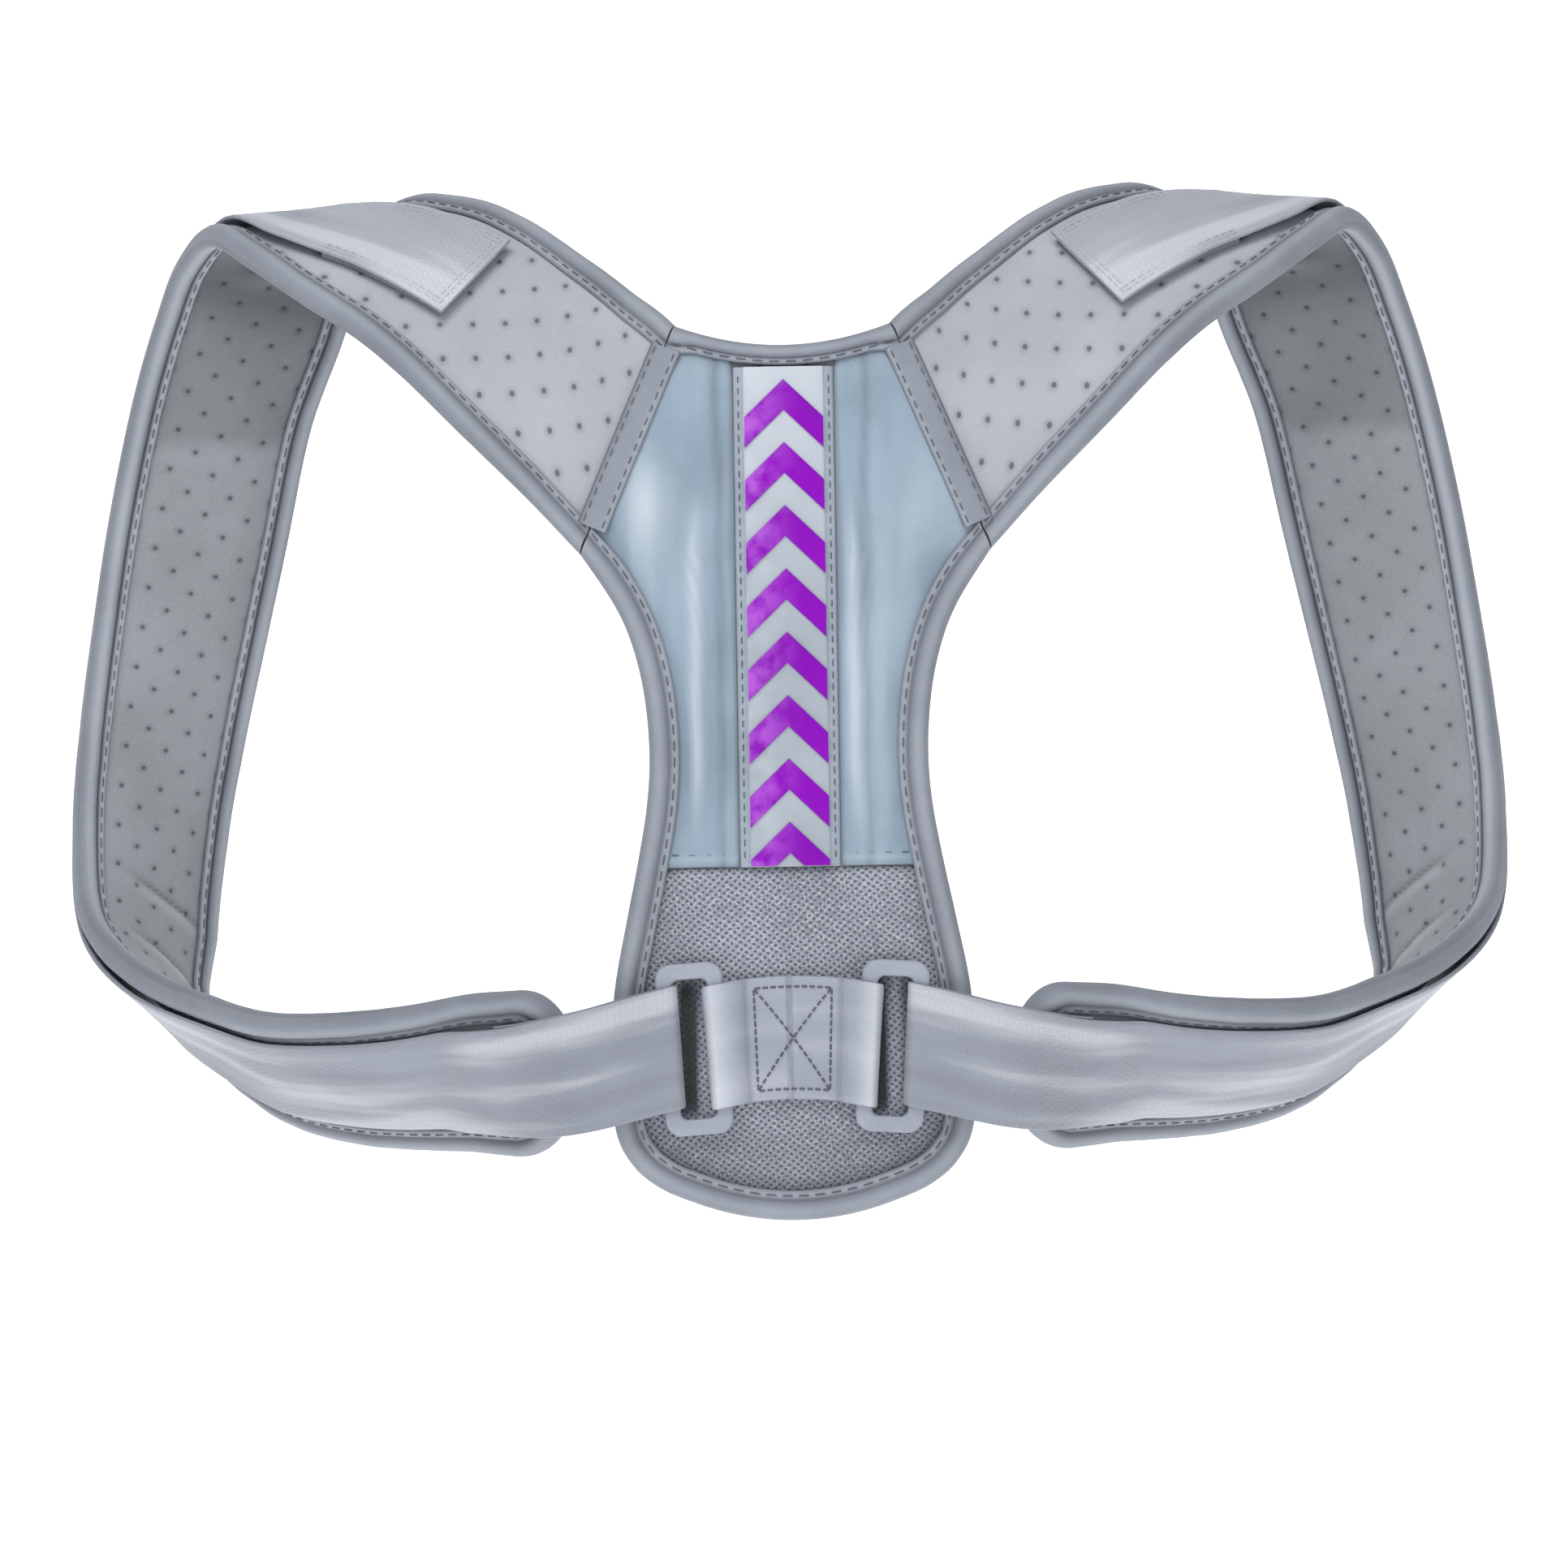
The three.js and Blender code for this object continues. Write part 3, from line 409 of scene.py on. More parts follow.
@dataclass
class StrapChart:
    """Places on the right strap: length, side towards the neck, and outward height."""

    table: list[Station] = field(default_factory=list)
    lengths: list[float] = field(default_factory=list)

    def __post_init__(self) -> None:
        """Works out the strap's middle line and how it turns."""
        rail, rolls, pitches, widths = self.rows()
        per_row = 12
        for step in range((len(rail) - 1) * per_row + 1):
            place = step / per_row
            roll = math.radians(smooth_at(rolls, place))
            pitch = math.radians(smooth_at(pitches, place))
            width = smooth_at(widths, place)
            flat, rise = math.cos(pitch), math.sin(pitch)
            across = Vector((-flat * math.sin(roll), rise, flat * math.cos(roll)))
            middle = self.rail_at(rail, place) + across * (width / 2)
            length = 0.0
            if self.table:
                length = self.table[-1].length + (middle - self.table[-1].middle).length
            self.table.append(Station(middle, across, length, width))
        self.lengths = [station.length for station in self.table]
        last = len(self.table) - 1
        for step, station in enumerate(self.table):
            ahead = self.table[min(step + 3, last)].middle
            station.along = (ahead - self.table[max(step - 3, 0)].middle).normalized()
            station.out = station.along.cross(station.across).normalized()

    @staticmethod
    def rows() -> tuple[list[Vector], list[float], list[float], list[float]]:
        """The arm-side edge and its turns, from the seam to the ring.

        Returns:
            The edge's points, rolls and pitches in degrees, and widths.
        """
        rail = []
        for row in STRAP_ROWS:
            up = row.z * (UNDERARM_DROP if row.z < 0 else SHOULDER_RISE)
            rail.append(Vector((row.x * HALF_SPAN, row.y * RAIL_DEPTH, up)))
        low = PanelChart.point(*SEAM_LOW, 0) / MM
        seam = PanelChart.point(*SEAM_HIGH, 0) / MM - low
        rolls = [math.degrees(math.atan2(-seam.x, seam.z))]
        pitches = [math.degrees(math.asin(seam.y / seam.length))]
        widths = [seam.length]
        rolls += [row.roll for row in STRAP_ROWS] + [180 - RING_TILT]
        pitches += [row.pitch for row in STRAP_ROWS] + [0.0]
        widths += [row.wide * STRAP_WIDTH for row in STRAP_ROWS]
        widths.append(widths[-1])
        half, roll = widths[-1] / 2, math.radians(rolls[-1])
        end = Vector((OUTER_BAR_X + half * math.sin(roll), RING_Y, RING_Z - half * math.cos(roll)))
        return [low, *rail, end], rolls, pitches, widths

    @staticmethod
    def rail_at(rail: Sequence[Vector], place: float) -> Vector:
        """A point of the centripetal curve through the arm-side edge."""
        last = len(rail) - 1
        row = min(int(place), last - 1)
        share = place - row
        start, end = rail[row], rail[row + 1]
        before = rail[row - 1] if row else start * 2 - end
        after = rail[row + 2] if row + 2 <= last else end * 2 - start
        first = max((start - before).length ** 0.5, 1e-4)
        step = max((end - start).length ** 0.5, 1e-4)
        final = max((after - end).length ** 0.5, 1e-4)
        leave = (
            (start - before) / first - (end - before) / (first + step) + (end - start) / step
        ) * step
        arrive = (
            (end - start) / step - (after - start) / (step + final) + (after - end) / final
        ) * step
        return (
            start
            + leave * share
            + (end * 3 - start * 3 - leave * 2 - arrive) * share**2
            + (start * 2 - end * 2 + leave + arrive) * share**3
        )

    @property
    def ring_length(self) -> float:
        """The length at which the strap's line meets the ring's outer bar."""
        return self.lengths[-1]

    @property
    def tip_length(self) -> float:
        """The length of the padded strap."""
        return self.ring_length - TIP_TO_RING

    @property
    def round_start(self) -> float:
        """Where the rounding of the padded tip starts."""
        return self.tip_length - TIP_LENGTH

    def station(self, length: float) -> Station:
        """The strap's middle, directions and width at a length."""
        step = min(max(bisect.bisect_right(self.lengths, length) - 1, 0), len(self.table) - 2)
        start, end = self.table[step], self.table[step + 1]
        share = (length - start.length) / (end.length - start.length)
        return Station(
            start.middle.lerp(end.middle, share),
            start.across.lerp(end.across, share).normalized(),
            length,
            lerp(start.width, end.width, share),
            start.along.lerp(end.along, share).normalized(),
            start.out.lerp(end.out, share).normalized(),
        )

    def point(self, length: float, side: float, height: float) -> Vector:
        """A place of the strap in metres."""
        reach = min(max(length, 0.0), self.ring_length)
        here = self.station(reach)
        beyond = length - reach
        return (here.middle + here.across * side + here.out * height + here.along * beyond) * MM

    def half(self, length: float) -> float:
        """Half the strap's width at a length."""
        return self.station(min(max(length, 0.0), self.ring_length)).width / 2


PANEL = PanelChart()
STRAP = StrapChart()


# ------------------------------------------------------------ mesh building


@dataclass
class Sheet:
    """Points, faces and a flat map of a surface under construction."""

    points: list[Vector] = field(default_factory=list)
    faces: list[tuple[int, ...]] = field(default_factory=list)
    flat: list[tuple[float, float]] = field(default_factory=list)
    holes: list[tuple[float, float]] = field(default_factory=list)
    shade: list[float] = field(default_factory=list)
    under: list[int] = field(default_factory=list)

    def add(self, points: Sequence[Vector], flat: Sequence[tuple[float, float]],
            shade: Sequence[float] = ()) -> int:
        """Adds points with their places on the flat map.

        Args:
            points: the points, in metres.
            flat: their places on the flat map.
            shade: painted shade, from 1 in a dark crease to -1 for a painted highlight; 0 if left
                out.

        Returns:
            The number of the first one.
        """
        start = len(self.points)
        self.points.extend(points)
        self.flat.extend(flat)
        self.shade.extend(shade or [0.0] * len(points))
        return start

    def loft(self, rings: Sequence[Sequence[Vector]], lengths: Sequence[float],
             around: Sequence[float], closed_path: bool = False,
             shade: Sequence[float] = ()) -> None:
        """Adds a solid swept through closed rings of points.

        Args:
            rings: the rings, each with the same number of points.
            lengths: each ring's place along the flat map.
            around: each ring point's place across the flat map.
            closed_path: whether the last ring joins the first.
            shade: the shade of each point of a ring, or of every ring's points in turn.
        """
        count = len(around)
        flat = [(length * MM, across * MM) for length in lengths for across in around]
        tones = list(shade) * len(rings) if len(shade) == count else shade
        start = self.add([point for ring in rings for point in ring], flat, tones)
        last = len(rings) if closed_path else len(rings) - 1
        for ring in range(last):
            here, there = start + ring * count, start + (ring + 1) % len(rings) * count
            for side in range(count):
                near = (side + 1) % count
                self.faces.append((here + side, here + near, there + near, there + side))
        if not closed_path:
            end = start + (len(rings) - 1) * count
            self.faces.append(tuple(range(start + count - 1, start - 1, -1)))
            self.faces.append(tuple(range(end, end + count)))

    def slab(self, upper: Sequence[Sequence[Vector]], lower: Sequence[Sequence[Vector]],
             flat: Sequence[Sequence[tuple[float, float]]],
             shades: tuple[Sequence[float], Sequence[float]] = ((), ())) -> None:
        """Adds a closed layer between two grids of points.

        Args:
            upper: the rows of its upper face.
            lower: the rows of its lower face.
            flat: their places on the flat map, in millimetres.
            shades: the shades of the upper points and of the lower ones.
        """
        rows, columns = len(upper), len(upper[0])
        places = [(u * MM, v * MM) for row in flat for u, v in row]
        top = self.add([point for row in upper for point in row], places, shades[0])
        low = self.add([point for row in lower for point in row], places, shades[1])
        for row in range(rows - 1):
            for column in range(columns - 1):
                corner = row * columns + column
                quad = (corner, corner + 1, corner + columns + 1, corner + columns)
                self.faces.append(tuple(top + spot for spot in quad))
                self.under.append(len(self.faces))
                self.faces.append(tuple(low + spot for spot in reversed(quad)))
        rim = [
            *range(columns - 1),
            *(row * columns + columns - 1 for row in range(rows - 1)),
            *((rows - 1) * columns + column for column in range(columns - 1, 0, -1)),
            *(row * columns for row in range(rows - 1, 0, -1)),
        ]
        for here, there in zip(rim, rim[1:] + rim[:1]):
            self.faces.append((top + here, low + here, low + there, top + there))

    def area(self) -> float:
        """Half the surface of the closed sheet, which is the cloth it takes."""
        total = 0.0
        for face in self.faces:
            first = self.points[face[0]]
            for near, far in zip(face[1:], face[2:]):
                total += (self.points[near] - first).cross(self.points[far] - first).length / 2
        return total / 2

    def finish(self, name: str, material: bpy.types.Material, side: Side = Side.RIGHT,
               lining: bpy.types.Material | None = None) -> bpy.types.Object:
        """Makes the object, on its side of the body.

        Args:
            name: the piece's name.
            material: its finish.
            side: LEFT mirrors the right-hand points.
            lining: the finish of its lower face, where that differs.

        Returns:
            The piece, at the origin, with its faces outwards.
        """
        mesh = bpy.data.meshes.new(name)
        points = [Vector((point.x * side.value, point.y, point.z)) for point in self.points]
        mesh.from_pydata(points, [], self.faces)
        for word, places in (("flat", self.flat), ("holes", self.holes or self.flat)):
            layer = mesh.uv_layers.new(name=word)
            for loop in mesh.loops:
                layer.data[loop.index].uv = places[loop.vertex_index]
        mesh.attributes.new("shade", "FLOAT", "POINT").data.foreach_set("value", self.shade)
        work = bmesh.new()
        work.from_mesh(mesh)
        bmesh.ops.recalc_face_normals(work, faces=work.faces)
        work.to_mesh(mesh)
        work.free()
        mesh.polygons.foreach_set("use_smooth", [True] * len(mesh.polygons))
        mesh.set_sharp_from_angle(angle=math.radians(SHARP_EDGE))
        mesh.materials.append(material)
        if lining:
            mesh.materials.append(lining)
            for face in self.under:
                mesh.polygons[face].material_index = 1
        piece = bpy.data.objects.new(name, mesh)
        bpy.context.collection.objects.link(piece)
        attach(piece, "root")
        return piece


def stitch_mesh() -> tuple[list[Vector], list[tuple[int, ...]]]:
    """One stitch: a thread that comes up, lies for a moment, and goes down."""
    bpy.ops.object.select_all(action="DESELECT")
    lying = (0, math.pi / 2, 0)
    bpy.ops.mesh.primitive_cylinder_add(vertices=6, radius=0.5, depth=1.0, rotation=lying)
    stitch = bpy.context.object
    bpy.ops.object.transform_apply(location=True, rotation=True, scale=True)
    bpy.ops.object.mode_set(mode="EDIT")
    work = bmesh.from_edit_mesh(stitch.data)
    for face in work.faces:
        face.select = abs(face.normal.x) > 0.9
    bmesh.update_edit_mesh(stitch.data)
    bpy.ops.mesh.extrude_region_move(TRANSFORM_OT_translate={"value": (0, 0, 0)})
    bpy.ops.transform.resize(value=(1.35, 0.55, 0.55))
    bpy.ops.transform.translate(value=(0, 0, -0.3))
    bpy.ops.object.mode_set(mode="OBJECT")
    points = [vertex.co.copy() for vertex in stitch.data.vertices]
    faces = [tuple(polygon.vertices) for polygon in stitch.data.polygons]
    bpy.data.objects.remove(stitch)
    return points, faces


@dataclass
class StitchWork:
    """Rows of stitches laid on a surface."""

    thread: float = 0.55
    long: float = 3.0
    pitch: float = 5.0
    sheet: Sheet = field(default_factory=Sheet)
    shape: tuple[list[Vector], list[tuple[int, ...]]] | None = None

    def row(self, path: Sequence[Vector], ups: Sequence[Vector] = ()) -> None:
        """Sews along a path.

        Args:
            path: the path on the cloth, in metres.
            ups: the outward direction at each point of it; straight back if left out.
        """
        ups = ups or [Vector((0, -1, 0))] * len(path)
        if self.shape is None:
            self.shape = stitch_mesh()
        marks = [0.0]
        for here, there in zip(path, path[1:]):
            marks.append(marks[-1] + (there - here).length)
        count = int(marks[-1] / (self.pitch * MM))
        for step in range(count):
            middle = (step + 0.5) * marks[-1] / count
            place = min(max(bisect.bisect_right(marks, middle) - 1, 0), len(path) - 2)
            share = (middle - marks[place]) / max(marks[place + 1] - marks[place], 1e-9)
            centre = path[place].lerp(path[place + 1], share)
            along = (path[place + 1] - path[place]).normalized()
            up = ups[place].lerp(ups[place + 1], share)
            across = up.cross(along).normalized()
            up = along.cross(across)
            self.lay(centre, along, across, up)

    def lay(self, centre: Vector, along: Vector, across: Vector, up: Vector) -> None:
        """Lays one stitch at a place."""
        points, faces = self.shape
        thick = self.thread * MM
        start = self.sheet.add(
            [
                centre
                + along * (point.x * self.long * MM * 0.8)
                + across * (point.y * thick)
                + up * (point.z * thick)
                for point in points
            ],
            [(point.x * self.long * MM, point.y * thick) for point in points],
        )
        self.sheet.faces.extend(tuple(start + spot for spot in face) for face in faces)

    def finish(self, name: str, slot: str = "binding", side: Side = Side.RIGHT,
               pale: bool = False) -> None:
        """Makes the stitches of one job a piece."""
        material = (Finishes.PALE_THREAD if pale else Finishes.THREAD).make()
        piece = self.sheet.finish(name, material, side)
        LOG.info("%s: %d faces", name, len(self.sheet.faces))


# ---------------------------------------------------------------- finishes


class NodeBoard:
    """Adds nodes to one tree and joins them."""

    def __init__(self, tree: bpy.types.NodeTree) -> None:
        """Starts on a tree."""
        self.tree = tree

    def add(self, kind: str, inputs: dict | None = None, **settings: object) -> bpy.types.Node:
        """Adds a node.

        Args:
            kind: the node's type without its ShaderNode prefix.
            inputs: socket names or numbers to values, or to sockets that feed them.
            settings: the node's own properties.

        Returns:
            The node.
        """
        node = self.tree.nodes.new("ShaderNode" + kind)
        for name, value in settings.items():
            setattr(node, name, value)
        for name, value in (inputs or {}).items():
            if isinstance(value, bpy.types.NodeSocket):
                self.tree.links.new(value, node.inputs[name])
            else:
                node.inputs[name].default_value = value
        return node

    def join(self, start: bpy.types.NodeSocket, end: bpy.types.NodeSocket) -> None:
        """Feeds one socket to another."""
        self.tree.links.new(start, end)

    def sum(self, operation: str, *values: object) -> bpy.types.NodeSocket:
        """The result of a Math node."""
        return self.add("Math", dict(enumerate(values)), operation=operation).outputs[0]

    def spread(self, value: object, low: float, high: float, start: float = 0.0,
               end: float = 1.0) -> bpy.types.NodeSocket:
        """A value's range turned smoothly into another."""
        inputs = {0: value, 1: low, 2: high, 3: start, 4: end}
        return self.add("MapRange", inputs, interpolation_type="SMOOTHSTEP").outputs[0]

    def vector(self, operation: str, *values: object) -> bpy.types.NodeSocket:
        """The result of a Vector Math node."""
        return self.add("VectorMath", dict(enumerate(values)), operation=operation).outputs[0]

    def scaled(self, value: object, factor: float) -> bpy.types.NodeSocket:
        """A vector made longer or shorter."""
        return self.add("VectorMath", {0: value, "Scale": factor}, operation="SCALE").outputs[0]

    def noise(self, place: object, scale: object, detail: float,
              roughness: float = 0.5) -> bpy.types.NodeSocket:
        """A cloudy value about 0.5."""
        inputs = {"Vector": place, "Scale": scale, "Detail": detail, "Roughness": roughness}
        return self.add("TexNoise", inputs).outputs[0]

    def blend(self, share: object, first: object, second: object) -> bpy.types.NodeSocket:
        """Two colours mixed."""
        inputs = {0: share, 6: first, 7: second}
        return self.add("Mix", inputs, data_type="RGBA").outputs[2]

    def group(self, tree: bpy.types.NodeTree, **inputs: object) -> bpy.types.Node:
        """One of the shared effects."""
        return self.add("Group", inputs, node_tree=tree)


class Effect:
    """Shader node groups that several finishes share, each built once."""

    DIMPLE_REACH = 2.6
    # The colours that painted shade and painted highlights are mixed towards
    CREASE_COLOUR = (0.014, 0.016, 0.02, 1.0)
    RIDGE_COLOUR = (0.86, 0.9, 0.95, 1.0)

    @staticmethod
    def begin(name: str, inputs: dict[str, object], outputs: Sequence[str], kind: str = "Float"
              ) -> tuple[bpy.types.NodeTree, NodeBoard, bpy.types.Node, bpy.types.Node]:
        """Makes an empty group.

        Args:
            name: the group's name.
            inputs: each input's default number or colour, or None for a vector.
            outputs: the names of its results.
            kind: what the results are.

        Returns:
            The group, its board, and its two end nodes.
        """
        group = bpy.data.node_groups.new(name, "ShaderNodeTree")
        for word, default in inputs.items():
            sort = "Color" if isinstance(default, tuple) else "Float"
            sort = "NodeSocket" + ("Vector" if default is None else sort)
            socket = group.interface.new_socket(word, in_out="INPUT", socket_type=sort)
            if default is not None:
                socket.default_value = default
        for word in outputs:
            group.interface.new_socket(word, in_out="OUTPUT", socket_type="NodeSocket" + kind)
        start = group.nodes.new("NodeGroupInput")
        end = group.nodes.new("NodeGroupOutput")
        return group, NodeBoard(group), start, end

    @classmethod
    def weave(cls) -> bpy.types.NodeTree:
        """Over-and-under threads; the vector counts threads."""
        found = bpy.data.node_groups.get("Weave")
        if found:
            return found
        group, board, start, end = cls.begin("Weave", {"Threads": None}, ["Height", "Gap"])
        parts = board.add("SeparateXYZ", {0: start.outputs["Threads"]})
        swells = []
        for axis in (0, 1):
            turned = board.sum("MULTIPLY", parts.outputs[axis], math.pi)
            swells.append(board.sum("ABSOLUTE", board.sum("SINE", turned)))
        checker = board.add("TexChecker", {"Vector": start.outputs["Threads"], "Scale": 1.0})
        over = board.sum("MULTIPLY", swells[0], checker.outputs[1])
        other = board.sum("SUBTRACT", 1.0, checker.outputs[1])
        under = board.sum("MULTIPLY", swells[1], other)
        height = board.sum("ADD", over, under)
        board.join(height, end.inputs["Height"])
        board.join(board.spread(height, 0.05, 0.4, 1.0, 0.0), end.inputs["Gap"])
        return group

    @classmethod
    def perforation(cls) -> bpy.types.NodeTree:
        """Round holes in a square lattice; the vector counts holes."""
        found = bpy.data.node_groups.get("Perforation")
        if found:
            return found
        inputs = {"Lattice": None, "Radius": 0.075, "Soft": 0.045}
        group, board, start, end = cls.begin("Perforation", inputs, ["Hole", "Dimple"])
        cell = board.vector("FRACTION", start.outputs["Lattice"])
        from_middle = board.vector("SUBTRACT", cell, (0.5, 0.5, 0.0))
        flat = board.vector("MULTIPLY", from_middle, (1, 1, 0))
        away = board.add("VectorMath", {0: flat}, operation="LENGTH").outputs["Value"]
        rim = board.sum("ADD", start.outputs["Radius"], start.outputs["Soft"])
        hole = board.spread(away, start.outputs["Radius"], rim, 1.0, 0.0)
        dimple = board.spread(away, 0.0, board.sum("MULTIPLY", rim, cls.DIMPLE_REACH), 1.0, 0.0)
        board.join(hole, end.inputs["Hole"])
        board.join(dimple, end.inputs["Dimple"])
        return group

    @classmethod
    def creased(cls) -> bpy.types.NodeTree:
        """A colour darkened by painted shade and lightened by painted highlights."""
        found = bpy.data.node_groups.get("Creased")
        if found:
            return found
        inputs = {"Colour": (0.5, 0.5, 0.5, 1.0), "Shade": 0.0}
        group, board, start, end = cls.begin("Creased", inputs, ["Colour"], "Color")
        dark = board.sum("MINIMUM", board.sum("MAXIMUM", start.outputs["Shade"], 0.0), 1.0)
        turned = board.sum("MULTIPLY", start.outputs["Shade"], -1.0)
        light = board.sum("MINIMUM", board.sum("MAXIMUM", turned, 0.0), 1.0)
        depth = board.sum("MULTIPLY", board.sum("POWER", dark, 1.2), 0.97)
        deeper = board.blend(depth, start.outputs["Colour"], cls.CREASE_COLOUR)
        lighter = board.blend(board.sum("MULTIPLY", light, 0.7), deeper, cls.RIDGE_COLOUR)
        board.join(lighter, end.inputs["Colour"])
        return group

    @classmethod
    def wear(cls) -> bpy.types.NodeTree:
        """Broad shading of handled cloth, and a fine fuzz."""
        found = bpy.data.node_groups.get("Wear")
        if found:
            return found
        inputs = {"Place": None, "Broad": 18.0, "Fine": 1400.0}
        group, board, start, end = cls.begin("Wear", inputs, ["Tone", "Fuzz"])
        place = start.outputs["Place"]
        broad = board.noise(place, start.outputs["Broad"], 3.0, 0.55)
        fine = board.noise(place, start.outputs["Fine"], 2.0, 0.6)
        board.join(board.spread(broad, 0.3, 0.7), end.inputs["Tone"])
        board.join(fine, end.inputs["Fuzz"])
        return group


@dataclass(frozen=True)
class Finish:
    """What every finish of the brace has."""

    name: str
    colour: tuple[float, float, float, float]
    deep: tuple[float, float, float, float]
    roughness: float = 0.85
    sheen: float = 0.15

    def make(self) -> bpy.types.Material:
        """Makes the material, or finds the one made before."""
        found = bpy.data.materials.get(self.name + "_finish")
        if found:
            return found
        material = bpy.data.materials.new(self.name + "_finish")
        material.use_nodes = True
        material.node_tree.nodes.clear()
        board = NodeBoard(material.node_tree)
        gloss = {"Roughness": self.roughness, "Sheen Weight": self.sheen, "Sheen Roughness": 0.5}
        shader = board.add("BsdfPrincipled", gloss)
        output = board.add("OutputMaterial")
        material.node_tree.links.new(shader.outputs[0], output.inputs[0])
        self.dress(board, shader)
        return material

    def dress(self, board: NodeBoard, shader: bpy.types.Node) -> None:
        """Gives the shader its colour and relief; each finish does this in its own way."""
        raise NotImplementedError

    def link(self, board: NodeBoard, shader: bpy.types.Node, colour: bpy.types.NodeSocket,
             height: bpy.types.NodeSocket, strength: float, depth: float) -> None:
        """Feeds a colour and a relief to the shader.

        Args:
            board: the material's board.
            shader: its shader.
            colour: the colour.
            height: the relief, from 0 to 1.
            strength: how strongly it shows.
            depth: its depth in millimetres.
        """
        bump = board.add("Bump", {"Strength": strength, "Distance": depth * MM, "Height": height})
        board.join(bump.outputs[0], shader.inputs["Normal"])
        # Painted shade and painted highlights from the piece's shade attribute are mixed into the
        # colour
        shade = board.add("Attribute", attribute_name="shade").outputs["Fac"]
        creased = board.group(Effect.creased(), Colour=colour, Shade=shade)
        board.join(creased.outputs[0], shader.inputs["Base Color"])

    def wear(self, board: NodeBoard, broad: float,
             fine: float) -> tuple[bpy.types.NodeSocket, ...]:
        """The worn colour, the broad tone behind it and the fuzz, on the piece's own places."""
        place = board.add("TexCoord").outputs["Object"]
        effect = board.group(Effect.wear(), Place=place, Broad=broad, Fine=fine)
        tone = effect.outputs["Tone"]
        return board.blend(tone, self.deep, self.colour), tone, effect.outputs["Fuzz"]

    def vary_gloss(self, board: NodeBoard, shader: bpy.types.Node, value: object,
                   low: float = 0.0, high: float = 1.0, less: float = 0.06,
                   more: float = 0.08) -> None:
        """Makes the surface glossier where a value is low, and duller where it is high."""
        rough = board.spread(value, low, high, self.roughness - less, self.roughness + more)
        board.join(rough, shader.inputs["Roughness"])

    @staticmethod
    def flat(board: NodeBoard, scale: tuple[float, float], turn: float = 0.0,
             chart: str = "flat") -> bpy.types.NodeSocket:
        """One of the piece's flat maps, scaled and turned."""
        place = board.add("UVMap", uv_map=chart).outputs[0]
        rotation = (0.0, 0.0, math.radians(turn))
        mapping = {"Vector": place, "Scale": (*scale, 1.0), "Rotation": rotation}
        return board.add("Mapping", mapping).outputs[0]


@dataclass(frozen=True)
class PerforatedPadding(Finish):
    """Soft knitted cloth over foam, with small round holes."""

    pitch: float = 10.2
    hole: float = 0.55
    soft_rim: float = 0.5

    def dress(self, board: NodeBoard, shader: bpy.types.Node) -> None:
        """Knit fuzz, broad shading and dark dimpled holes."""
        tone, _, fuzz = self.wear(board, 22.0, 1500.0)
        cells = 1 / (self.pitch * MM)
        turned = self.flat(board, (1.0, 1.0), 45, "holes")
        holes = board.group(
            Effect.perforation(), Lattice=board.scaled(turned, cells),
            Radius=self.hole / self.pitch, Soft=self.soft_rim / self.pitch,
        )
        weave = board.group(Effect.weave(), Threads=self.flat(board, (1400.0, 1400.0), 45))
        light = board.spread(fuzz, 0.35, 0.65, 0.0, 0.045)
        fuzzy = board.blend(light, tone, (1.0, 1.0, 1.0, 1.0))
        ring = board.sum("MULTIPLY", holes.outputs["Dimple"], 0.3)
        soft = board.blend(ring, fuzzy, screen(70, 74, 86))
        dark = board.sum("MULTIPLY", holes.outputs["Hole"], 0.62)
        colour = board.blend(dark, soft, screen(38, 40, 48))
        relief = board.sum("MULTIPLY", holes.outputs["Dimple"], -1.0)
        knit = board.sum("MULTIPLY", weave.outputs["Height"], 0.06)
        height = board.sum("ADD", board.sum("ADD", relief, knit), 1.0)
        self.link(board, shader, colour, height, 0.7, 0.5)


@dataclass(frozen=True)
class PlainCloth(Finish):
    """Close cloth, with threads and wear."""

    threads: tuple[float, float] = (1500.0, 1500.0)
    relief: float = 0.15
    streak: float = 0.0
    turn: float = 0.0
    dots: float = 0.0

    def dress(self, board: NodeBoard, shader: bpy.types.Node) -> None:
        """Threads in relief, shaded gaps, and long streaks where it has them."""
        tone, wear, fuzz = self.wear(board, 30.0, 1600.0)
        threads = self.flat(board, self.threads, self.turn)
        weave = board.group(Effect.weave(), Threads=threads)
        if self.streak:
            bands = board.noise(self.flat(board, (9.0, 78.0)), 1.0, 3.0, 0.4)
            light = board.spread(bands, 0.49, 0.66, 0.0, self.streak)
            tone = board.blend(light, tone, screen(232, 235, 243))
            shade = board.spread(bands, 0.34, 0.5, self.streak, 0.0)
            tone = board.blend(shade, tone, screen(112, 117, 130))
        if self.dots:
            lattice = self.flat(board, (520.0, 210.0))
            rows = board.group(Effect.perforation(), Lattice=lattice, Radius=0.1, Soft=0.16)
            worn = board.sum("MULTIPLY", rows.outputs["Hole"], wear)
            dotted = board.sum("MULTIPLY", worn, self.dots * 2)
            tone = board.blend(dotted, tone, screen(110, 115, 128))
        gap = board.sum("MULTIPLY", weave.outputs["Gap"], 0.35)
        colour = board.blend(gap, tone, self.deep)
        height = board.sum("ADD", weave.outputs["Height"], board.sum("MULTIPLY", fuzz, 0.5))
        self.link(board, shader, colour, height, 0.6, self.relief)


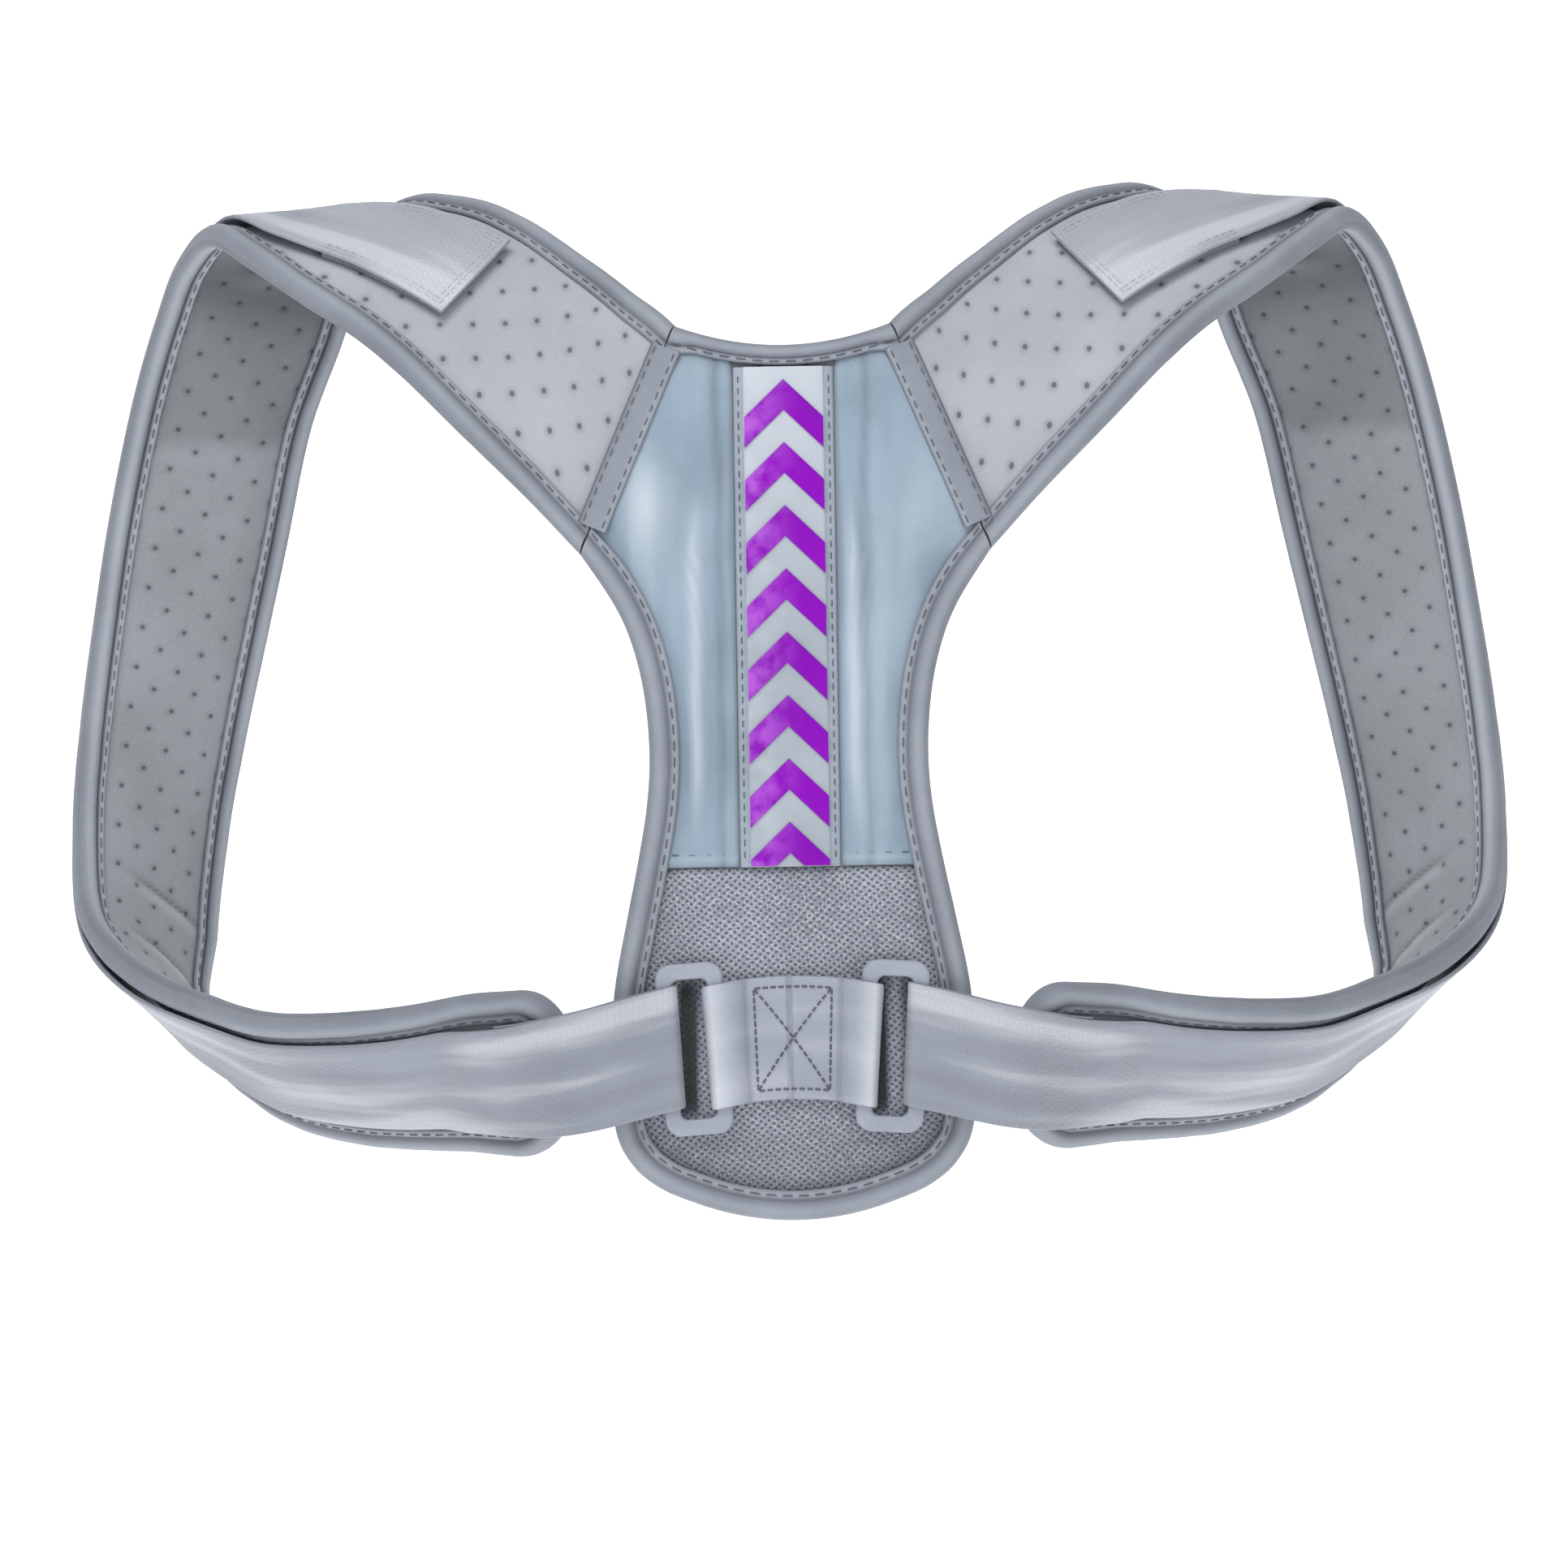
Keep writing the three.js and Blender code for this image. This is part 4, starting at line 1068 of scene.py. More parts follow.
@dataclass(frozen=True)
class CoatedCloth(Finish):
    """Smooth coated cloth with a fine leather grain and soft gloss."""

    def dress(self, board: NodeBoard, shader: bpy.types.Node) -> None:
        """Grain cells, streaks in relief with a painted sheen along them, and gloss that varies."""
        tone, wear, _ = self.wear(board, 26.0, 900.0)
        place = board.add("TexCoord").outputs["Object"]
        grid = {"Vector": place, "Scale": 950.0}
        cells = board.add("TexVoronoi", grid, feature="DISTANCE_TO_EDGE")
        grain = board.spread(cells.outputs["Distance"], 0.0, 0.25)
        stretched = board.add("Mapping", {"Vector": place, "Scale": (60.0, 1.0, 9.0)}).outputs[0]
        drag = board.noise(stretched, 1.0, 2.0)
        # A painted sheen along the streaks
        sheen = board.spread(drag, 0.48, 0.72, 0.0, 0.28)
        colour = board.blend(sheen, tone, screen(196, 212, 226))
        height = board.sum("ADD", grain, board.sum("MULTIPLY", drag, 3.0))
        self.link(board, shader, colour, height, 0.35, 0.12)
        self.vary_gloss(board, shader, wear)


@dataclass(frozen=True)
class OpenMesh(Finish):
    """Knitted spacer mesh with small diagonal holes."""

    cell: float = 1.85

    def dress(self, board: NodeBoard, shader: bpy.types.Node) -> None:
        """Dark cells between light raised threads."""
        tone, _, fuzz = self.wear(board, 30.0, 1500.0)
        lattice = self.flat(board, (1000 / self.cell, 1180 / self.cell), 38)
        bent = board.add("TexNoise", {"Vector": lattice, "Scale": 0.45, "Detail": 1.0})
        place = board.vector("ADD", lattice, board.scaled(bent.outputs["Color"], 0.3))
        holes = board.group(Effect.perforation(), Lattice=place, Radius=0.2, Soft=0.2)
        flecks = board.spread(fuzz, 0.46, 0.66, 0.0, 0.6)
        lit = board.blend(flecks, tone, screen(206, 210, 220))
        open_share = board.sum("MULTIPLY", holes.outputs["Hole"], 0.85)
        colour = board.blend(open_share, lit, screen(74, 78, 90))
        height = board.sum("SUBTRACT", 1.0, holes.outputs["Dimple"])
        self.link(board, shader, colour, height, 0.8, 0.45)


@dataclass(frozen=True)
class Foil(Finish):
    """Smooth film: reflective tape, or the printed chevrons."""

    # The colour of the painted glint and highlight, the strength of the painted highlight towards
    # the top, and that of the painted glint
    light: tuple[float, float, float, float] = (1.0, 1.0, 1.0, 1.0)
    reach: float = 0.5
    gain: float = 0.3
    gloss: float = 0.5

    def dress(self, board: NodeBoard, shader: bpy.types.Node) -> None:
        """A painted glint on the left side, a painted highlight towards the top, a faint bead
        texture and small creases.
        """
        tone, wear, fuzz = self.wear(board, 35.0, 2600.0)
        place = board.add("TexCoord").outputs["Object"]
        parts = board.add("SeparateXYZ", {0: place})
        # A painted glint on the left side, broken up by noise, and a painted highlight towards the
        # top
        across = board.spread(parts.outputs[0], 0.006, -0.012)
        broken = board.spread(board.noise(place, 120.0, 4.0), 0.35, 0.62)
        pale = board.sum("MULTIPLY", board.sum("MULTIPLY", across, broken), self.gain)
        high = board.spread(parts.outputs[2], 0.05, 0.13, 0.0, self.reach)
        side = board.blend(pale, tone, self.light)
        colour = board.blend(high, side, self.light)
        creases = board.sum("MULTIPLY", wear, 2.0)
        height = board.sum("ADD", fuzz, creases)
        self.link(board, shader, colour, height, 0.25, 0.1)
        shader.inputs["Specular IOR Level"].default_value = self.gloss
        self.vary_gloss(board, shader, fuzz, 0.3, 0.7, 0.05, 0.1)


@dataclass(frozen=True)
class MouldedPlastic(Finish):
    """Satin moulded plastic with a faint grain and gloss that varies."""

    def dress(self, board: NodeBoard, shader: bpy.types.Node) -> None:
        """Moulding grain and soft wear."""
        tone, wear, fuzz = self.wear(board, 60.0, 1800.0)
        speck = board.spread(fuzz, 0.55, 0.75, 0.0, 0.25)
        colour = board.blend(speck, tone, screen(200, 204, 214))
        self.link(board, shader, colour, fuzz, 0.25, 0.08)
        self.vary_gloss(board, shader, wear)


class Finishes:
    """Every finish of the brace."""

    PADDING = PerforatedPadding("padding", screen(173, 178, 187), screen(163, 168, 177))
    # The lining is the padding's cloth made darker, as painted shade on the faces on the body
    LINING = PerforatedPadding("lining", screen(147, 152, 158), screen(135, 140, 145))
    COATED = CoatedCloth("coated_facing", screen(145, 163, 180), screen(128, 146, 162), 0.46, 0.0)
    MESH = OpenMesh("mesh_facing", screen(155, 160, 172), screen(132, 137, 148))
    STRIP = PlainCloth("strip", screen(162, 174, 186), screen(147, 158, 170), 0.7, 0.1)
    # The last colour of the tape and of the print is that of their painted glint, and of the tape's
    # painted highlight towards its top
    TAPE = Foil("tape", screen(168, 177, 186), screen(156, 165, 174), 0.45, 0.0,
                screen(215, 220, 230), 0.45, 0.2)
    PRINT = Foil("print", screen(138, 0, 184), screen(128, 0, 172), 0.5, 0.0,
                 screen(196, 112, 226), 0.0, 0.6, 0.15)
    BINDING = PlainCloth("binding", screen(143, 149, 160), screen(130, 136, 147), 0.8, 0.15,
                         (1300.0, 1300.0), 0.12, 0.0, 45.0)
    WEBBING = PlainCloth("webbing", screen(146, 152, 163), screen(136, 142, 153), 0.55, 0.1,
                         (520.0, 900.0), 0.16, 0.4, 0.0, 0.1)
    BAND = PlainCloth("band", screen(165, 171, 184), screen(152, 158, 170), 0.55, 0.1,
                      (520.0, 900.0), 0.16, 0.14, 0.0, 0.06)
    HOOK = PlainCloth("hook", screen(150, 154, 166), screen(120, 124, 136), 0.8, 0.1,
                      (700.0, 700.0), 0.35)
    PLASTIC = MouldedPlastic("ring", screen(158, 164, 177), screen(146, 152, 165), 0.48, 0.0)
    THREAD = PlainCloth("thread", screen(104, 109, 121), screen(84, 89, 101), 0.8, 0.0,
                        (2500.0, 2500.0), 0.05)
    PALE_THREAD = PlainCloth("pale_thread", screen(196, 200, 208), screen(176, 180, 188), 0.7, 0.1,
                             (2500.0, 2500.0), 0.05)


# ------------------------------------------------------------------- pieces


def stand_in(piece: bpy.types.Object, node: str) -> None:
    """Hides a node's part so that a piece shows in its place, and logs the piece's faces."""
    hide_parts(node)
    LOG.info("%s: %d faces", piece.name, len(piece.data.polygons))


def sheet_area(area: float, width: float, length: float) -> float:
    """The area of a cloth cut from a box of a width and length in millimetres."""
    share = min(max(area / (width * length * MM * MM), LEAST_SHARE), 1.0)
    return share * width * length * MM * MM


@dataclass
class Binding:
    """Folded cloth round an edge: a bead, a groove, and a sewn lip."""

    # How strongly the section's painted shade and highlights show on the outer face and on the face
    # on the body
    OUTER_GROOVE = 0.4
    INNER_GROOVE = 0.85

    leg: float = BINDING_LEG

    def section(self) -> list[tuple[float, float]]:
        """The cloth's section as insets from the edge and heights over the middle."""
        lip = SLOT_HALF + BINDING_WALL
        leg = self.leg
        face = [
            (leg * 1.0, lip - 0.95),
            (leg * 0.985, lip - 0.45),
            (leg * 0.94, lip - 0.12),
            (leg * 0.88, lip + 0.02),
            (leg * 0.78, lip + 0.02),
            (leg * 0.72, lip - 0.16),
            (leg * 0.68, lip - 0.4),
            (leg * 0.64, lip - 0.22),
            (leg * 0.58, lip + BINDING_BEAD * 0.42),
            (leg * 0.48, lip + BINDING_BEAD * 0.85),
            (leg * 0.36, lip + BINDING_BEAD),
            (leg * 0.24, lip + BINDING_BEAD * 0.72),
            (leg * 0.13, lip + BINDING_BEAD * 0.05),
            (leg * 0.06, lip - BINDING_WALL * 0.95),
            (leg * 0.015, lip - BINDING_WALL * 2.1),
        ]
        wall = BINDING_WALL
        return [
            *face,
            (0.0, 0.0),
            *((inset, -height) for inset, height in reversed(face)),
            (leg - 0.3, -SLOT_HALF + 0.15),
            (wall, -SLOT_HALF + 0.15),
            (wall, SLOT_HALF - 0.15),
            (leg - 0.3, SLOT_HALF - 0.15),
        ]

    def shade(self) -> list[float]:
        """The painted shade of each point of the section: painted shade in the groove and by the
        edges, painted highlights on the lip and the bead, stronger on the face on the body.
        """
        groove = [0.8, 0.4, -0.15, -0.35, -0.2, 0.5, 1.0, 1.0, 0.35, -0.1, -0.3, -0.25, 0.0,
                  0.25, 0.35]
        return [
            *(self.OUTER_GROOVE * tone for tone in groove),
            0.1,
            *(self.INNER_GROOVE * tone for tone in reversed(groove)),
            *[0.0] * 4,
        ]

    def around(self) -> list[float]:
        """How far along the section each of its points lies."""
        return marks_along(self.section())

    def sewn(self) -> tuple[float, float]:
        """Where the stitches sit, as an inset and a height."""
        return self.leg * STITCH_INSET, SLOT_HALF + BINDING_WALL + 0.12


def pucker(length: float, inset: float, seed: float, reach: float = 7.0) -> float:
    """Small gathers beside a sewn edge, in millimetres."""
    fade = math.exp(-max(inset, 0.0) / reach)
    wave = ripple(length / 5.5, seed, 0.0) + 0.5 * ripple(length / 2.6, seed + 7.0, 0.0)
    return 0.34 * fade * wave


# How far from the middle the painted highlight runs down each coated facing
FOLD_PLACES = {Side.RIGHT: 20.5, Side.LEFT: 28.5}

Places = list[list[tuple[float, float]]]
Relief = Callable[[float, float], float]


@dataclass
class BackPanel:
    """The padded panel between the shoulder blades and what is sewn on it."""

    spacing: float = 2.2
    binding: Binding = field(default_factory=Binding)
    neck_binding: Binding = field(default_factory=lambda: Binding(NECK_BINDING_LEG))

    def full(self, x: float, z: float) -> float:
        """How far the padding has swollen: 0 in the binding, 1 well inside."""
        return ease(PANEL.inset(x, z), BINDING_LEG - 1.0, BINDING_LEG * 1.9)

    def facing_top(self, x: float, z: float) -> float:
        """The height of the facings over the panel's middle surface."""
        return lerp(EDGE_THICK / 2 + 0.1, PANEL_HALF_THICK, self.full(x, z))

    def grid(self, low: float, high: float, inner: float, inset: float) -> Places:
        """Places of a grid between two heights.

        Args:
            low: the lowest height, or below the panel for its bottom edge.
            high: the highest height.
            inner: where the grid starts across; negative reaches the other side.
            inset: how far it keeps from the edges.

        Returns:
            Rows of places across and up.
        """
        rows = []
        whole = inner < 0
        count = max(6, round((PANEL_HALF_WIDTH - max(inner, 0)) / self.spacing))
        count *= 2 if whole else 1
        bottom = max(low, -PANEL_BELOW + inset)
        for z in steps(bottom, high, self.spacing):
            if z < -106:
                half = self.reach_low(z, inset)
            else:
                half = PANEL.half_at(z) - (inset if z < SEAM_LOW[1] else 0.25)
            start = -half if whole else inner
            row = []
            for step in range(count + 1):
                x = lerp(start, half, step / count)
                top = z
                if high > 120:
                    out = min(abs(x) / SEAM_HIGH[0], 1.0)
                    cap = lerp(PANEL_ABOVE, SEAM_HIGH[1], out ** 2) - inset
                    top = z + (cap - high) * ease(z, 95, high)
                row.append((x, top))
            rows.append(row)
        return rows

    @staticmethod
    def reach_low(z: float, inset: float) -> float:
        """The half width near the bottom, drawn in from the rounded edge."""
        best = 0.0
        for x in steps(0.0, PANEL_HALF_WIDTH, 0.5):
            if z >= PANEL.bottom_at(x) + inset * (1 + (x / PANEL_HALF_WIDTH) ** 2 * 0.4):
                best = x
        return min(max(best, 6.0), PANEL_HALF_WIDTH - inset)

    def layer(self, name: str, places: Places, top: Relief, bottom: Relief, finish: Finish,
              side: Side = Side.RIGHT,
              shade: Relief = lambda x, z: 0.0) -> tuple[bpy.types.Object, float]:
        """Makes one layer of the panel.

        Args:
            name: the piece's name.
            places: its grid.
            top: its upper height at a place.
            bottom: its lower height at a place.
            finish: its finish.
            side: its side of the body.
            shade: the painted shade of its upper face at a place, or its painted highlight where
                negative.

        Returns:
            The piece and the area of its cloth.
        """
        sheet = Sheet()
        upper = [[PANEL.point(x, z, top(x, z)) for x, z in row] for row in places]
        lower = [[PANEL.point(x, z, bottom(x, z)) for x, z in row] for row in places]
        tones = [shade(x, z) for row in places for x, z in row]
        sheet.slab(upper, lower, places, (tones, [0.0] * len(tones)))
        return sheet.finish(name, finish.make(), side), sheet.area()

    def build(self) -> None:
        """Builds the padding, the facings, the bindings and the seam tapes."""
        self.build_core()
        self.build_facings()
        self.build_lower()
        self.build_bindings()
        for side in Side:
            self.build_seam_tape(side)

    def build_core(self) -> None:
        """The foam and its lining, which is the face on the wearer's side."""

        def top(x: float, z: float) -> float:
            """Under the facings."""
            return self.facing_top(x, z) - FACING - 0.15

        def bottom(x: float, z: float) -> float:
            """The lining, with soft hollows and gathers by the binding."""
            inset = PANEL.inset(x, z)
            soft = 0.35 * ripple(x / 22, z / 22, 3.0)
            full = self.full(x, z)
            depth = lerp(EDGE_THICK / 2, PANEL_HALF_THICK - 0.1 + soft, full)
            return -depth - full * pucker(z, inset - 9, 4.0)

        places = self.grid(-200, PANEL_ABOVE - 2.0, -1.0, 2.0)
        piece, _ = self.layer("panel_padding", places, top, bottom, Finishes.LINING)
        stand_in(piece, "panel_core")

    def build_facings(self) -> None:
        """The coated facings at both sides of the strip, softly creased."""
        inner = STRIP_WIDTH / 2 + LAYER_GAP
        places = self.grid(LOWER_FACING_TOP + 0.2, PANEL_ABOVE - 2.0, inner, 2.0)

        def relief(x: float, z: float) -> float:
            """Creases beside the strip and gathers by the binding."""
            inset = PANEL.inset(x, z)
            wander = 1.6 * ripple(z / 34, 11.0, 0.0)
            crease = -0.55 * bell(x, 19.5 + wander, 1.3) + 0.3 * bell(x, 23.5 + wander, 2.4)
            swell = 0.35 * bell(x, 31 + 2 * wander, 5.0)
            soft = 0.3 * ripple(x / 12, z / 30, 9.0)
            hem = ease(z, LOWER_FACING_TOP, LOWER_FACING_TOP + 4)
            tuck = ease(x, inner, inner + 2.2)
            fold = 0.55 * bell(z, LOWER_FACING_TOP + HEM_FOLD, 1.3)
            fold -= 0.35 * bell(z, LOWER_FACING_TOP + HEM_SEAM, 0.8)
            relief = (crease + swell + soft) * hem * tuck + fold + pucker(z, inset - 9, 2.0)
            return self.full(x, z) * relief - 0.5 * (1 - tuck)

        for side in Side:

            def shade(x: float, z: float, lit: float = FOLD_PLACES[side]) -> float:
                """Painted shade in a crease and along the edge beside the strip, by the binding and
                at the hem; painted highlights down the facing, on a patch near its top and on the
                hem's fold.
                """
                wander = 1.6 * ripple(z / 34, 11.0, 0.0)
                crease = 0.34 * bell(x, (24.5 if lit < 24 else 20.5) + wander, 1.6)
                ridge = -0.5 * bell(x, lit + wander, 1.9) * between(z, -22, 10, 66, 96)
                patch = -0.5 * bell(x, 43, 6) * bell(z, 86, 13) * (1 if lit > 24 else 0.4)
                edge = 0.22 * (1 - ease(PANEL.inset(x, z), 9, 15)) + 0.5 * bell(x, inner, 0.9)
                hem = 0.4 * bell(z, LOWER_FACING_TOP, 0.4)
                hem -= 0.4 * bell(z, LOWER_FACING_TOP + HEM_FOLD, 1.0)
                return crease + ridge + patch + edge + hem

            piece, area = self.layer(
                f"coated_facing_{side.word}",
                places,
                lambda x, z: self.facing_top(x, z) + relief(x, z),
                lambda x, z: self.facing_top(x, z) - FACING + 0.1,
                Finishes.COATED,
                side,
                shade,
            )
            high = PANEL_ABOVE - LOWER_FACING_TOP
            width = SEAM_LOW[0] - inner
            sheet_area(area, width, high)
            stand_in(piece, f"facing_{side.word}")
        work = StitchWork(0.5, 2.2, 4.4)
        for sign in (-1, 1):
            line = [
                (sign * x, LOWER_FACING_TOP + HEM_SEAM)
                for x in steps(inner + 1.5, PANEL.half_at(LOWER_FACING_TOP) - BINDING_LEG, 2)
            ]
            self.sew(work, line, lambda x, z: self.facing_top(x, z) + relief(abs(x), z) + 0.1)
        work.finish("facing_stitches")

    def sew(self, work: StitchWork, line: Sequence[tuple[float, float]],
            height: Callable[[float, float], float]) -> None:
        """Sews along a line of the panel's chart."""
        path = [PANEL.point(x, z, height(x, z)) for x, z in line]
        work.row(path)

    def build_lower(self) -> None:
        """The open mesh below the coated facings, softly quilted by the webbing's pull."""
        places = self.grid(-200, LOWER_FACING_TOP - LAYER_GAP, -1.0, 2.0)

        def top(x: float, z: float) -> float:
            """Swollen, with gathers by the binding and a tuck under the hem."""
            inset = PANEL.inset(x, z)
            soft = 0.4 * ripple(x / 16, z / 16, 5.0)
            tuck = 0.8 * (1 - ease(LOWER_FACING_TOP - z, 0.0, 3.0))
            full = self.full(x, z)
            return self.facing_top(x, z) + full * (soft + pucker(z + x, inset - 9, 6.0)) - tuck

        def shade(x: float, z: float) -> float:
            """Painted shade: the shadow between the webbings where they stand off the mesh at the
            rings, and shade under the hem, by the binding and towards the foot.
            """
            behind = between(z, -104, -99, -62, -57)
            left = between(x, -37, -34, -30.5, -27.5)
            right = between(x, 23, 26, 28.5, 31) + 0.7 * between(x, 31.5, 34, 36, 39)
            hem = 0.5 * bell(z, LOWER_FACING_TOP, 1.6)
            edge = 0.3 * (1 - ease(PANEL.inset(x, z), 9, 16))
            foot = 0.3 * (1 - ease(z, -112, -98))
            return behind * (left + right) + hem + edge + foot

        piece, area = self.layer(
            "mesh_facing", places, top,
            lambda x, z: self.facing_top(x, z) - FACING + 0.1, Finishes.MESH, shade=shade,
        )
        high = PANEL_BELOW + LOWER_FACING_TOP
        width = 2 * PANEL_HALF_WIDTH
        sheet_area(area, width, high)
        stand_in(piece, "facing_lower")

    def build_bindings(self) -> None:
        """The bindings of the panel's sides and foot, and of its neck, with their stitches."""
        for name, path, binding in (
            ("panel_binding", PANEL.side, self.binding),
            ("neck_binding", PANEL.neck, self.neck_binding),
        ):
            ends = [path[0].lerp(path[1], -0.12), *path[1:-1], path[-1].lerp(path[-2], -0.12)]
            seam = (Vector(SEAM_HIGH) - Vector(SEAM_LOW)).normalized()
            seam = seam if path is PANEL.side else -seam
            sheet, marks, work = Sheet(), [0.0], StitchWork()
            rings, sewn = [], {1: [], -1: []}
            inset, height = binding.sewn()
            for place, spot in enumerate(ends):
                before, after = ends[max(place - 1, 0)], ends[min(place + 1, len(ends) - 1)]
                along = (after - before).normalized()
                inward = Vector((along.y, -along.x))
                nearer = min((spot - ends[0]).length, (spot - ends[-1]).length)
                turned = Vector((seam.x if spot.x > 0 else -seam.x, seam.y))
                inward = inward.lerp(turned, 1 - ease(nearer, 0, 10))
                fitted = Binding(lerp(BINDING_LEG, binding.leg, ease(nearer, 0, 9)))
                if place:
                    marks.append(marks[-1] + (spot - ends[place - 1]).length)
                wave = ripple(marks[-1] / 9, 1.0, 0.0)
                wave = 1 + 0.05 * ease(nearer, 0, 12) * wave
                rings.append([
                    PANEL.point(spot.x + inward.x * i, spot.y + inward.y * i, h * wave)
                    for i, h in fitted.section()
                ])
                x, z = spot.x + inward.x * inset, spot.y + inward.y * inset
                for face in (1, -1):
                    sewn[face].append(PANEL.point(x, z, face * height))
            sheet.loft(rings, marks, binding.around(), shade=binding.shade())
            piece = sheet.finish(name + "_cloth", Finishes.BINDING.make())
            length = marks[-1] * MM
            sheet.area() / length
            stand_in(piece, name)
            for face in (1, -1):
                work.row(sewn[face], [Vector((0, -face, 0))] * len(sewn[face]))
            work.finish(name + "_stitches")

    def build_seam_tape(self, side: Side) -> None:
        """The tape over one seam, sewn along both its edges."""
        low, high = Vector(SEAM_LOW), Vector(SEAM_HIGH)
        along = (high - low).normalized()
        across = Vector((along.y, -along.x))
        start, end = BINDING_LEG * 0.97, (high - low).length - NECK_BINDING_LEG - 1.0
        profile = [(-0.5, 0.0), (-0.47, 0.75), (-0.4, 1.0), (-0.2, 1.06), (0.2, 1.06), (0.4, 1.0),
                   (0.47, 0.75), (0.5, 0.0)]
        floor = PANEL_HALF_THICK + LAYER_GAP
        upper, lower, flat = [], [], []
        for reach in steps(start, end, 2.0):
            wave = 0.12 * ripple(reach / 6, 2.0, 0.0)
            line = [low + along * reach + across * (s * SEAM_TAPE_WIDTH) for s, _ in profile]
            upper.append([
                PANEL.point(p.x, p.y, floor + SEAM_TAPE_THICK * h + wave)
                for p, (_, h) in zip(line, profile)
            ])
            lower.append([PANEL.point(p.x, p.y, floor - 0.5) for p in line])
            flat.append([(reach, s * SEAM_TAPE_WIDTH) for s, _ in profile])
        sheet = Sheet()
        # Painted shade along both edges of the tape, darkest on the strap's side, and a faint
        # painted highlight near the other edge
        tones = [0.55, 0.2, -0.15, 0.0, 0.05, 0.25, 0.6, 0.75] * len(upper)
        sheet.slab(upper, lower, flat, (tones, tones))
        piece = sheet.finish(f"seam_tape_cloth_{side.word}", Finishes.BINDING.make(), side)
        length = (end - start) * MM
        sheet.area() / length
        stand_in(piece, f"seam_tape_{side.word}")
        work = StitchWork(0.5, 2.4, 4.2)
        for share in (-0.33, 0.33):
            shift = across * (share * SEAM_TAPE_WIDTH)
            line = [low + along * reach + shift for reach in steps(start, end, 3)]
            path = [PANEL.point(p.x, p.y, floor + SEAM_TAPE_THICK * 1.1) for p in line]
            work.row(path)
        work.finish(f"seam_stitches_{side.word}", side=side)


@dataclass
class CentreStrip:
    """The strip up the middle of the panel, with its silver tape and chevrons."""

    floor: float = PANEL_HALF_THICK - FACING
    crown: float = 0.15

    def band(self, name: str, width: float, bottom: float, thick: float, finish: Finish,
             node: str, slot: str) -> None:
        """A flat band over the whole height of the strip.

        Args:
            name: the piece's name.
            width: how wide it is.
            bottom: its height over the panel's middle surface.
            thick: its thickness.
            finish: its finish.
            node: the node it replaces.
            slot: not used.
        """
        profile = [(-0.5, 0.15), (-0.488, 0.75), (-0.46, 0.97), (-0.3, 1.0), (0.0, 1.0)]
        profile += [(-share, height) for share, height in reversed(profile[:-1])]
        upper, lower, flat = [], [], []
        for z in steps(LOWER_FACING_TOP, STRIP_TOP, 3.0):
            soft = 0.14 * ripple(z / 14, width, 0.0)
            upper.append([
                PANEL.point(
                    s * width, z,
                    bottom + thick * h + self.crown * (1 - (2 * s) ** 2) + soft * h,
                )
                for s, h in profile
            ])
            lower.append([PANEL.point(s * width, z, bottom) for s, _ in profile])
            flat.append([(s * width, z) for s, _ in profile])
        sheet = Sheet()
        sheet.slab(upper, lower, flat)
        piece = sheet.finish(name, finish.make())
        stand_in(piece, node)

    def chevron(self, order: int, bottom: float) -> None:
        """One printed chevron, counted from the neck."""
        apex = STRIP_TOP - CHEVRON_FIRST_DROP - order * CHEVRON_PITCH
        half = TAPE_WIDTH / 2 - LAYER_GAP
        floor = LOWER_FACING_TOP + LAYER_GAP
        upper, lower, flat = [], [], []
        for x in steps(-half, half, 1.0):
            top = max(apex - abs(x) * CHEVRON_SLOPE, floor + 0.02)
            foot = max(top - CHEVRON_BAND, floor)
            rim = 0.3 if top - foot > 1 else 0.005
            heights = [foot, foot + rim, top - rim, top]
            lift = [PRINT_THICK * share for share in (0.6, 1.0, 1.0, 0.6)]
            upper.append([PANEL.point(x, z, bottom + h) for z, h in zip(heights, lift)])
            lower.append([PANEL.point(x, z, bottom) for z in heights])
            flat.append([(x, z) for z in heights])
        sheet = Sheet()
        sheet.slab(upper, lower, flat)
        piece = sheet.finish(f"chevron_print_{order + 1}", Finishes.PRINT.make())
        stand_in(piece, f"chevron_{order + 1}")

    def build(self) -> None:
        """Builds the strip, the tape, the chevrons and their stitches."""
        tape = self.floor + STRIP_THICK + LAYER_GAP
        prints = tape + TAPE_THICK + LAYER_GAP
        self.band("strip_cloth", STRIP_WIDTH, self.floor, STRIP_THICK, Finishes.STRIP,
                  "strip_base", "strip")
        self.band("silver_tape", TAPE_WIDTH, tape - 0.2, TAPE_THICK + 0.1, Finishes.TAPE,
                  "reflective_tape", "tape")
        for order in range(CHEVRON_COUNT):
            self.chevron(order, prints - 0.1)
        work = StitchWork(0.42, 2.0, 3.6)
        for side in (-1, 1):
            x = side * (STRIP_WIDTH / 2 - 1.5)
            line = steps(LOWER_FACING_TOP + 2, STRIP_TOP - 2, 3)
            path = [PANEL.point(x, z, self.floor + STRIP_THICK + 0.12) for z in line]
            work.row(path)
        work.finish("strip_stitches", slot="strip")


